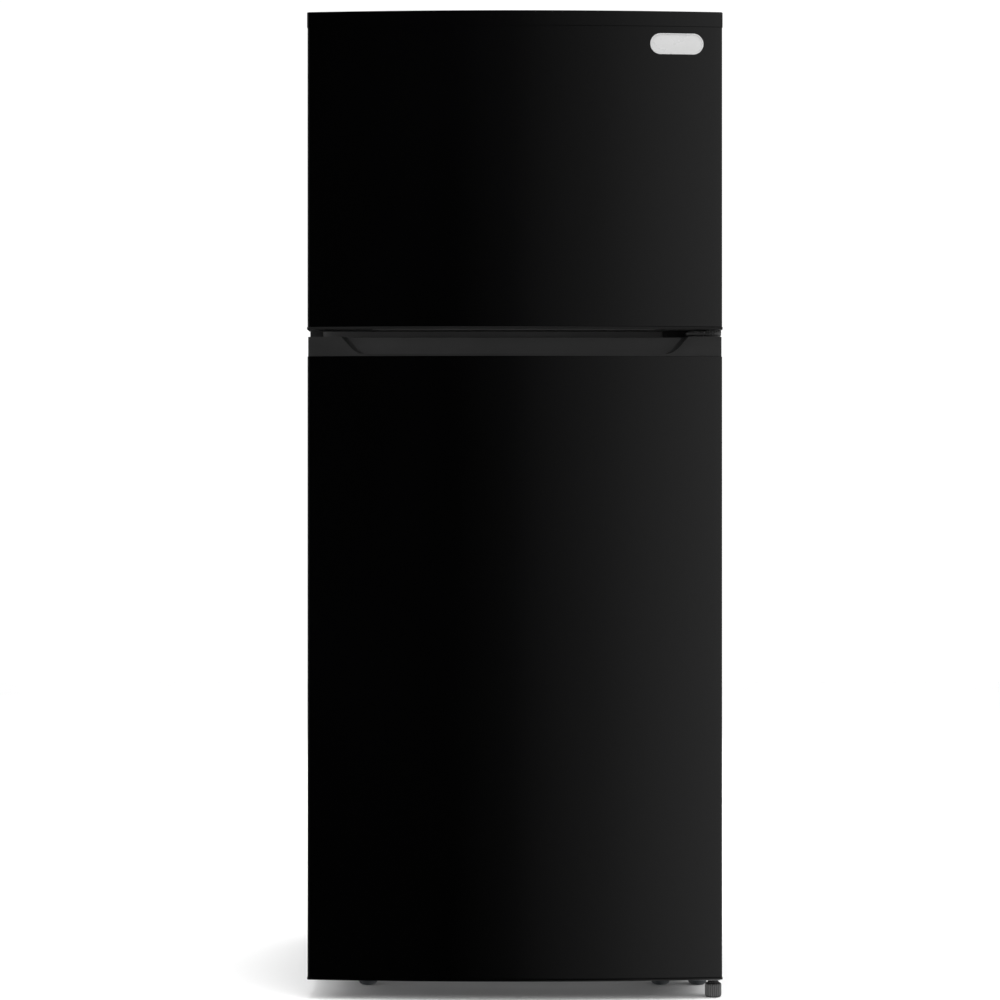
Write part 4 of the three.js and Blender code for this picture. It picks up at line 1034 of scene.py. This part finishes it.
def makeGrille():
    # a finger guard over the freezer's fan, and ribs across the cover
    low, high = coverLow, coverHigh
    fanLow, fanHigh = boxOf("evaporator_fan")
    centre = Vector((0, low.y - 0.0016, (fanLow.z + fanHigh.z) / 2))
    shape = Shape()
    for radius in (0.012, 0.022, 0.032, 0.042, 0.052):
        ring = [
            centre + Vector((radius * math.cos(a), 0, radius * math.sin(a)))
            for a in (2 * math.pi * k / 40 for k in range(40))
        ]
        shape.tube(ring, 0.0013, 8, closed=True)
    for k in range(6):
        a = math.pi * k / 3 + math.pi / 6
        arm = Vector((math.cos(a), 0, math.sin(a)))
        shape.tube([centre + arm * 0.004, centre + arm * 0.0575], 0.0015, 8)
    shape.turn([(0.008, 0.001), (0.009, 0), (0.009, -0.0015), (0.007, -0.0028)], centre, "y", 24)
    for x in between(low.x + 0.03, high.x - 0.03, 18):
        if abs(x) < 0.075:
            continue
        shape.block(
            (x - 0.003, low.y - 0.0014, low.z + 0.05), (x + 0.003, low.y + 0.0005, high.z - 0.03), 0.0009,
        )
    shape.finish("evaporator_cover_grille", "linerWhite", "cabinet")


makeGrille()


def makeWireShelf():
    low, high = shelfLow, shelfHigh
    z = low.z + 0.003
    r = 0.0029
    shape = Shape()
    rim = roundedLoop(low.x + r, high.x - r, low.y + r, high.y - r, 0.016, 6)
    shape.tube([(x, y, z) for x, y in rim], r, 12, closed=True)
    for y in between(low.y + 0.085, high.y - 0.085, 3):
        shape.tube([(low.x + r, y, z - 0.0002), (high.x - r, y, z - 0.0002)], r * 0.8, 10)
    for x in between(low.x + 0.02, high.x - 0.02, 30):
        path = smoothPath(
            [(x, low.y + 0.001, z - 0.001), (x, low.y + 0.001, z + 0.0042), (x, high.y - 0.001, z + 0.0042),
             (x, high.y - 0.001, z - 0.001)], 0.003, 3,
        )
        shape.tube(path, 0.0013, 8)
    shape.finish("freezer_wire_shelf", "wireWhite", "cabinet", ["freezer_shelf"], sharp=60)


makeWireShelf()


def makeCrisper(side):
    name = "crisper_drawer_" + side
    body = side + "_crisper"
    low, high = boxOf(name)
    front = low.y + 0.009
    wall = 0.0024
    draft = 0.005
    box = (low.x, high.x, front, high.y)
    profile = [
        (0.024, low.z), (0.0155, low.z + 0.0025), (0.0085, low.z + 0.0075), (draft, low.z + 0.014),
        (0.001, high.z - 0.016), (0, high.z - 0.015), (0, high.z - 0.001), (0.001, high.z), (0.003, high.z),
        (0.0038, high.z - 0.001), (0.004, high.z - 0.015), (draft + wall, low.z + 0.015),
        (0.0085 + wall, low.z + 0.0092), (0.0155 + wall, low.z + 0.0048), (0.024 + wall, low.z + wall),
    ]
    shape = Shape().stack("xy", box, 0.014, profile, steps=6)
    # grip folded over the front, swept out in the middle
    y1 = front + 0.003
    z1 = high.z - 0.0006
    loops = []
    for k in range(25):
        t = k / 24
        x = low.x + 0.012 + (high.x - low.x - 0.024) * t
        y0 = front - 0.0085 * min(1.0, math.sin(math.pi * t) * 2.2)
        loops.append([
            (x, y1, z1), (x, y1, z1 - 0.0024), (x, y0 + 0.0022, z1 - 0.0026), (x, y0 + 0.0022, z1 - 0.015),
            (x, y0 + 0.0004, z1 - 0.0155), (x, y0, z1 - 0.014), (x, y0, z1 - 0.002), (x, y0 + 0.0016, z1),
        ])
    shape.loft(loops)
    for share in (0.3, 0.5, 0.7):
        z = low.z + (high.z - low.z) * share
        inset = draft * (1 - share)
        ring = [
            (inset + 0.001, z - 0.005), (inset - 0.0009, z - 0.0035), (inset - 0.0009, z + 0.0035),
            (inset + 0.001, z + 0.005),
        ]
        shape.stack("xy", box, 0.014, ring, looped=True, steps=6)
    z = low.z + wall
    for x in between(low.x + 0.04, high.x - 0.04, 6):
        shape.block((x - 0.0012, front + 0.03, z - 0.0004), (x + 0.0012, high.y - 0.03, z + 0.002), 0.0004)
    shape.finish(name + "_tray", "clearPlastic", body, [name])


makeCrisper("left")
makeCrisper("right")


def makeKnob():
    low, high = boxOf("temperature_knob")
    middle = (low + high) / 2
    panelY = high.y - 0.012
    centre = Vector((middle.x, panelY, middle.z))
    r = high.x - middle.x
    shape = Shape()
    shape.turn(
        [(r * 0.9, -0.0004), (r, -0.0012), (r, -0.0095), (r * 0.94, -0.0118), (r * 0.8, -0.0123)],
        centre, "y", 72, ribs=24, ribDepth=0.0006,
    )
    shape.block(
        (centre.x - 0.0028, panelY - 0.0178, centre.z - r * 0.84),
        (centre.x + 0.0028, panelY - 0.0112, centre.z + r * 0.84), 0.0012, 3,
    )
    shape.turn([(0.0028, 0.0115), (0.0028, -0.002)], centre, "y", 16)
    shape.finish("temperature_dial", "greyPlastic", "knob", ["temperature_knob"])
    marks = Shape()
    for k in range(7):
        a = math.radians(-135 + 45 * k)
        arm = Vector((math.sin(a), 0, math.cos(a)))
        start = centre + arm * (r + 0.0022)
        end = centre + arm * (r + 0.0018 + 0.0014 + 0.0003 * k)
        proud = Vector((0, -0.0002, 0))
        marks.tube([start + proud, end + proud], 0.0004, 6)
    marks.block((centre.x - 0.0005, panelY - 0.0182, centre.z + r * 0.35),
                (centre.x + 0.0005, panelY - 0.0176, centre.z + r * 0.78), 0)
    marks.finish("dial_marks", "darkGap", "cabinet")


makeKnob()


def makeLamp():
    low, high = boxOf("light_cover")
    box = (low.x, high.x, low.y, high.y)
    wall = 0.002
    profile = [
        (0.006, low.z), (0.002, low.z + 0.0012), (0.0004, low.z + 0.005), (0, high.z), (wall, high.z),
        (wall + 0.0004, low.z + 0.006), (wall + 0.003, low.z + wall + 0.001), (wall + 0.007, low.z + wall),
    ]
    shape = Shape().stack("xy", box, 0.012, profile, steps=6)
    for y in between(low.y + 0.012, high.y - 0.012, 12):
        shape.block(
            (low.x + 0.01, y - 0.0016, low.z - 0.0002), (high.x - 0.01, y + 0.0016, low.z + 0.0012), 0.0006,
        )
    shape.finish("lamp_lens", "lampLens", "cabinet", ["light_cover"])


makeLamp()
print("inside made")


# Hinges, feet and rollers

dress("top_hinge", "zinc", 0.0006)
dress("top_hinge_cover", "darkPlastic", 0.002, 3)
dress("middle_hinge", "hingeGrey", 0.0005)
dress("bottom_hinge", "zinc", 0.0006)


def makeHingeTrim():
    # ribs round the middle hinge's bush, and the moulding that covers its screws
    low, high = boxOf("middle_hinge")
    z0 = boxOf("fridge_door_handle_cap")[1].z + 0.0032
    z1 = boxOf("freezer_door_bottom_cap")[0].z - 0.0006
    ribs = Shape().turn(
        [(0.0120, z0), (0.0136, z0 + 0.0004), (0.0136, z1 - 0.0004), (0.0120, z1)], (hingeX, hingeY, 0), "z",
        180, 18, 0.0017,
    )
    ribs.finish("hinge_bush_ribs", "bushGrey", "cabinet", sharp=20)
    cover = Shape()
    rear = low.y + 0.0503
    cover.stack(
        "xz", (low.x - 0.0375, low.x + 0.006, low.z + 0.0055, high.z - 0.006), 0.003,
        [(0, rear), (0, rear - 0.0022), (0.0006, rear - 0.0028)],
    )
    for x in (low.x - 0.031, low.x - 0.022):
        cover.block((x, rear - 0.0034, low.z + 0.014), (x + 0.0022, rear - 0.0024, low.z + 0.022), 0.0004)
    cover.finish("hinge_screw_cover", "darkGap", "cabinet")


makeHingeTrim()

footSizes = {"ribs": 24, "ribDepth": 0.0014}


def makeLeg():
    low, high = boxOf("leveling_leg")
    x, y = (low.x + high.x) / 2, (low.y + high.y) / 2
    r = (high.x - low.x) / 2
    shape = Shape()
    shape.turn(
        [(r - 0.0026, 0), (r - 0.0012, 0.0008), (r, 0.0034), (r, 0.0205), (r - 0.0008, 0.0228),
         (r - 0.003, 0.024)],
        (x, y, 0), "z", footSizes["ribs"] * 6, footSizes["ribs"], footSizes["ribDepth"],
    )
    shape.turn(
        [(0.0092, 0.0236), (0.0092, 0.0258), (0.0084, 0.0266), (0.0084, 0.0284)], (x, y, 0), "z", 36,
    )
    # the plain stem that runs up into the hinge's pin
    stem = [(0.0035, 0.0280), (0.0035, high.z - 0.001), (0.0026, high.z)]
    shape.turn(stem, (x, y, 0), "z", 24)
    shape.finish("levelling_foot", "legGrey", "leg", ["leveling_leg"], sharp=28)


makeLeg()


def makeGlides():
    names = ["front_foot_left", "front_foot_right", "hinge_foot"]
    shape = Shape()
    for name in names:
        low, high = boxOf(name)
        x, y = (low.x + high.x) / 2, (low.y + high.y) / 2
        r = (high.x - low.x) / 2
        shape.turn(
            [(r * 0.58, 0), (r * 0.72, 0.0006), (r * 0.86, 0.0020), (r * 0.95, 0.0042), (r, 0.0075),
             (r, 0.0118), (r * 0.96, 0.0132), (r * 0.6, 0.0142), (r * 0.52, 0.016),
             (r * 0.52, high.z - 0.004), (r * 0.66, high.z - 0.003), (r * 0.66, high.z)], (x, y, 0), "z", 40,
        )
    shape.finish("floor_glides", "slate", "cabinet", names, sharp=35)


makeGlides()


def makeRoller(side):
    name = "rear_roller_" + side
    low, high = boxOf(name)
    centre = (low + high) / 2
    r = (high.z - low.z) / 2
    w = 0.0098
    shape = Shape().turn(
        [(0.0062, -w + 0.001), (0.008, -w), (0.0105, -w), (0.0115, -w + 0.002), (r * 0.78, -w + 0.002),
         (r * 0.82, -w + 0.0004), (r - 0.002, -w), (r - 0.0004, -w + 0.0016), (r, -w + 0.004), (r, w - 0.004),
         (r - 0.0004, w - 0.0016), (r - 0.002, w), (r * 0.82, w - 0.0004), (r * 0.78, w - 0.002),
         (0.0115, w - 0.002), (0.0105, w), (0.008, w), (0.0062, w - 0.001)], centre, "x", 48,
    )
    reach = (high.x - low.x) / 2
    axle = [(0.0034, -reach), (0.004, -reach + 0.0008), (0.004, reach - 0.0008), (0.0034, reach)]
    shape.turn(axle, centre, "x", 20)
    shape.finish(name + "_wheel", "slate", side + "_roller", [name], sharp=35)


makeRoller("left")
makeRoller("right")


# Machine space

dress("compressor_base", "sheetZinc", 0.0005)
dress("condenser_fan_motor", "zinc", 0.0006)
dress("drain_pan", "darkPlastic", 0.0008)
dress("rear_cover", "paintedSheet", 0.0005)


def makeCompressor():
    low, high = boxOf("compressor")
    centre = (low + high) / 2
    z0 = low.z
    r = (high.y - low.y) / 2 / 1.04
    tall = high.z - low.z
    shape = Shape()
    shape.turn(
        [(r * 0.5, 0.0125), (r * 0.7, 0.014), (r * 0.88, 0.024), (r * 0.97, 0.038), (r, 0.052), (r, 0.094),
         (r * 1.035, 0.0955), (r * 1.04, 0.098), (r * 1.04, 0.102), (r * 1.035, 0.1045), (r, 0.106),
         (r, 0.126),
         (r * 0.985, 0.136), (r * 0.93, 0.149), (r * 0.82, 0.160), (r * 0.66, 0.169), (r * 0.45, 0.1745),
         (r * 0.2, tall - 0.0003)],
        (centre.x, centre.y, z0), "z", 64,
    )
    shape.stack(
        "xy", (low.x, high.x, centre.y - 0.048, centre.y + 0.048), 0.014,
        [(0.0005, z0 + 0.009), (0, z0 + 0.0096), (0, z0 + 0.0134), (0.0005, z0 + 0.014)],
    )
    shape.finish("compressor_pot", "compressorPaint", "cabinet", ["compressor"])
    mounts = Shape()
    bolts = Shape()
    for x in (centre.x - r - 0.004, centre.x + r + 0.004):
        for y in (centre.y - 0.038, centre.y + 0.038):
            mounts.turn(
                [(0.0085, 0.0), (0.009, 0.001), (0.009, 0.004), (0.0072, 0.0052), (0.0072, 0.0066),
                 (0.0088, 0.0076), (0.0088, 0.0088)], (x, y, z0), "z", 28,
            )
            bolts.screw((x, y, z0 + 0.0142), "z")
    # terminal cover on the side of the pot, with a spring clip
    edgeX = centre.x - r
    bolts.tube(
        smoothPath([(edgeX - 0.022, centre.y - 0.022, z0 + 0.075), (edgeX - 0.024, centre.y, z0 + 0.1),
                    (edgeX - 0.022, centre.y + 0.022, z0 + 0.075)], 0.02), 0.0011, 8,
    )
    mounts.block(
        (edgeX - 0.022, centre.y - 0.026, z0 + 0.056), (edgeX + 0.012, centre.y + 0.026, z0 + 0.112),
        0.004, 3,
    )
    mounts.finish("compressor_mounts", "darkGap", "cabinet")
    bolts.finish("compressor_bolts", "zinc", "cabinet")
    pipes = Shape()
    side = centre.x - r * 0.2
    pipes.tube(smoothPath(
        [(side, centre.y + r * 0.93, z0 + 0.08), (side, centre.y + r + 0.012, z0 + 0.08),
         (side, centre.y + r + 0.012, z0 + 0.175), (side - 0.09, centre.y + r + 0.012, z0 + 0.175),
         (side - 0.09, centre.y - 0.05, z0 + 0.186), (side - 0.09, centre.y - 0.098, z0 + 0.186),
         (side - 0.09, centre.y - 0.098, z0 + 0.208)], 0.014), 0.0042, 12)
    pipes.tube(smoothPath(
        [(side + 0.05, centre.y + r * 0.86, z0 + 0.06), (side + 0.06, centre.y + r + 0.006, z0 + 0.06),
         (side + 0.06, centre.y + r + 0.02, z0 + 0.03), (side - 0.06, centre.y + r + 0.02, z0 + 0.03),
         (side - 0.15, centre.y + r + 0.012, z0 + 0.03),
         (side - 0.19, centre.y + r - 0.02, z0 + 0.1)], 0.012), 0.0026, 10)
    pipes.tube([(side - 0.03, centre.y + r * 0.95, z0 + 0.05), (side - 0.03, centre.y + r + 0.03, z0 + 0.05)],
               0.0031, 10)
    pipes.finish("refrigerant_pipes", "copper", "cabinet")


makeCompressor()


def makeCondenser():
    low, high = boxOf("condenser_coil")
    shape = Shape()
    rows = between(low.y + 0.014, high.y - 0.014, 4)
    levels = between(low.z + 0.014, high.z - 0.014, 7)
    r = 0.0031
    x0, x1 = low.x + 0.006, high.x - 0.006
    for y in rows:
        path = []
        for k, z in enumerate(levels):
            ends = (x0, x1) if k % 2 == 0 else (x1, x0)
            path += [(ends[0], y, z), (ends[1], y, z)]
        shape.tube(smoothPath(path, 0.011, 5), r, 10)
    for side in (low.x, high.x - 0.0016):
        shape.block((side, low.y, low.z), (side + 0.0016, high.y, high.z), 0.0004, 1)
    shape.finish("condenser_tubes", "compressorPaint", "cabinet", ["condenser_coil"])
    fins = Shape()
    for x in between(x0 + 0.012, x1 - 0.012, 26):
        for y in rows:
            fins.block((x - 0.0003, y - 0.012, low.z + 0.004), (x + 0.0003, y + 0.012, high.z - 0.004), 0)
    fins.finish("condenser_fins", "aluminium", "cabinet")


makeCondenser()


fanSizes = {"blades": 5, "spanSteps": 8, "chordSteps": 6}


def makeFan(name, node, body, axis, finish):
    low, high = boxOf(node)
    centre = (low + high) / 2
    radius = max((high.z - low.z), (high.y - low.y) if axis == "x" else (high.x - low.x)) / 2 * 0.955
    hub = radius * 0.29
    shape = Shape()
    shape.turn(
        [(hub * 0.72, -0.0095), (hub * 0.92, -0.0085), (hub, -0.006), (hub, 0.008), (hub * 0.94, 0.009),
         (hub * 0.8, 0.009), (hub * 0.8, 0.0), (0.0035, 0.0), (0.0032, 0.006), (0.0027, 0.006),
         (0.0027, -0.0015)],
        centre, axis, 40,
    )
    blades, span, across = fanSizes["blades"], fanSizes["spanSteps"], fanSizes["chordSteps"]
    for b in range(blades):
        loops = []
        for i in range(span + 1):
            upper = []
            lower = []
            t = i / span
            reach = hub * 0.96 + (radius - hub * 0.96) * t
            mid = 2 * math.pi * b / blades + 0.22 * t
            chord = 0.62 - 0.12 * t + 0.1 * math.sin(math.pi * t)
            pitch = 0.0085 * (1 - 0.25 * t)
            for k in range(across + 1):
                s = k / across - 0.5
                a = mid + chord * s
                h = pitch * 2 * s * 0.8 + 0.0025 * (1 - 4 * s * s)
                thick = 0.0011 * (1 - 0.5 * abs(2 * s))
                u, v = reach * math.cos(a), reach * math.sin(a)
                for rows, side in ((upper, thick), (lower, -thick)):
                    local = (h + side, u, v) if axis == "x" else (u, h + side, v)
                    rows.append([c + d for c, d in zip(centre, local)])
            loops.append(upper + lower[::-1])
        shape.loft(loops)
    shape.finish(name, finish, body, [node], sharp=45)


makeFan("evaporator_fan_wheel", "evaporator_fan", "freezer_fan", "y", "greyPlastic")
makeFan("condenser_fan_wheel", "condenser_fan", "machine_fan", "x", "darkPlastic")


# Fasteners

def makeScrews():
    cabinet = Shape()
    backLow, backHigh = boxOf("back_panel")
    for z in between(backLow.z + 0.03, backHigh.z - 0.03, 8):
        for x in (backLow.x + 0.014, backHigh.x - 0.014):
            cabinet.screw((x, backHigh.y, z), "y", 1, 0.0032, 0.0022)
    for x in between(backLow.x + 0.12, backHigh.x - 0.12, 4):
        cabinet.screw((x, backHigh.y, backHigh.z - 0.02), "y", 1, 0.0032, 0.0022)
    coverBox = boxOf("rear_cover")
    skirtY = coverBox[0].y + 0.0015
    for x in between(coverBox[0].x + 0.014, coverBox[1].x - 0.014, 5):
        for z in (coverBox[0].z + 0.012, coverBox[1].z - 0.012):
            cabinet.screw((x, skirtY, z), "y", 1, 0.0036, 0.0026)
    tailLow, tailHigh = boxOf("middle_hinge")
    for x in (tailLow.x + 0.012, tailLow.x + 0.03):
        cabinet.screw((x, tailHigh.y - 0.002, (tailLow.z + tailHigh.z) / 2 + 0.008), "y", -1, 0.0036, 0.0026)
    stepLow, stepHigh = boxOf("bottom_hinge")
    for y in (stepHigh.y - 0.012, stepHigh.y - 0.06, stepHigh.y - 0.085):
        cabinet.screw((stepLow.x + 0.008, y, stepLow.z), "z", -1, 0.004, 0.0028)
    baseLow, baseHigh = boxOf("compressor_base")
    for x in between(baseLow.x + 0.03, baseHigh.x - 0.03, 4):
        cabinet.screw((x, baseLow.y + 0.016, baseHigh.z - 0.003), "z", -1, 0.004, 0.003)
    hingeLow, hingeHigh = boxOf("top_hinge_cover")
    cabinet.screw((hingeLow.x + 0.018, hingeHigh.y - 0.02, hingeHigh.z - 0.0004), "z", -1, 0.003, 0.001)
    cabinet.finish("cabinet_screws", "zinc", "cabinet")


makeScrews()
print("machine space made")


# Studio

stageSizes = {
    "floorHalf": 7.0, "cameraX": -0.025, "cameraBack": 4.2, "cameraHeight": 0.8407, "lens": 89.84,
}


def makeStage():
    half = stageSizes["floorHalf"]
    bm = bmesh.new()
    corners = ((-half, -half, 0), (half, -half, 0), (half, half, 0), (-half, half, 0))
    bm.faces.new([bm.verts.new(p) for p in corners])
    mesh = bpy.data.meshes.new("studio_floor")
    bm.to_mesh(mesh)
    bm.free()
    floor = bpy.data.objects.new("studio_floor", mesh)
    scene.collection.objects.link(floor)
    s = Shader("studio_floor_paint")
    colour = s.blend(s.cloud(1.5, detail=3), grey(0.93), grey(0.96))
    mesh.materials.append(s.surface(Base_Color=colour, Roughness=0.85, Specular_IOR_Level=0.1))
    floor.visible_glossy = False


makeStage()


def makeWorld():
    world = bpy.data.worlds.new("studio_sky")
    world.use_nodes = True
    scene.world = world
    s = Shader("studio_sky", world.node_tree)
    side = s.node("SeparateXYZ", sockets={"Vector": s.node("TexCoord", out=0)})
    # what the polished doors mirror runs from dark on the left to a soft grey on the right
    steps = [
        (0.0, grey(0.22)), (1.0, grey(0.25)), (0.12, grey(0.5)), (0.22, grey(0.34)), (0.31, grey(0.0)),
        (0.46, grey(0.004)), (0.5, grey(0.045)), (0.56, grey(0.195)), (0.62, grey(0.43)),
        (0.66, grey(0.62)), (0.76, grey(0.8)), (0.9, grey(0.45)),
    ]
    mirrored = s.node("ValToRGB", {"stops": steps}, {"Fac": side * 0.5 + 0.5})
    lit = s.node("Background", sockets={"Color": grey(1.0), "Strength": 1.06})
    seen = s.node("Background", sockets={"Color": mirrored, "Strength": 1.0})
    ray = s.node("LightPath", out=3) * s.node("LightPath", out=5)
    both = s.node("MixShader", sockets={0: ray, 1: lit, 2: seen})
    s.node("OutputWorld", sockets={"Surface": both})


makeWorld()


def addLight(name, place, target, size, power):
    lamp = bpy.data.lights.new(name, "AREA")
    lamp.shape = "RECTANGLE"
    lamp.size = size
    lamp.size_y = size
    lamp.energy = power
    thing = bpy.data.objects.new(name, lamp)
    thing.location = place
    thing.visible_glossy = False
    thing.rotation_mode = "QUATERNION"
    thing.rotation_quaternion = (Vector(target) - Vector(place)).to_track_quat("-Z", "Y")
    scene.collection.objects.link(thing)


target = (0, 0, 0.8)
addLight("top_softbox", (0.3, -1.2, 3.6), target, 2.4, 60)
addLight("left_softbox", (-3.4, -1.2, 1.8), target, 2.0, 40)
addLight("right_softbox", (3.4, -0.6, 1.8), target, 2.0, 50)
addLight("back_softbox", (0.5, 3.6, 2.2), target, 2.4, 60)

cameraData = bpy.data.cameras.new("camera")
cameraData.lens = stageSizes["lens"]
cameraData.sensor_width = 36
camera = bpy.data.objects.new("camera", cameraData)
cornerY = frontY + bow
camera.location = (stageSizes["cameraX"], cornerY - stageSizes["cameraBack"], stageSizes["cameraHeight"])
camera.rotation_euler = (math.pi / 2, 0, 0)
scene.collection.objects.link(camera)
scene.camera = camera
scene.view_settings.view_transform = "Standard"
print("studio made")
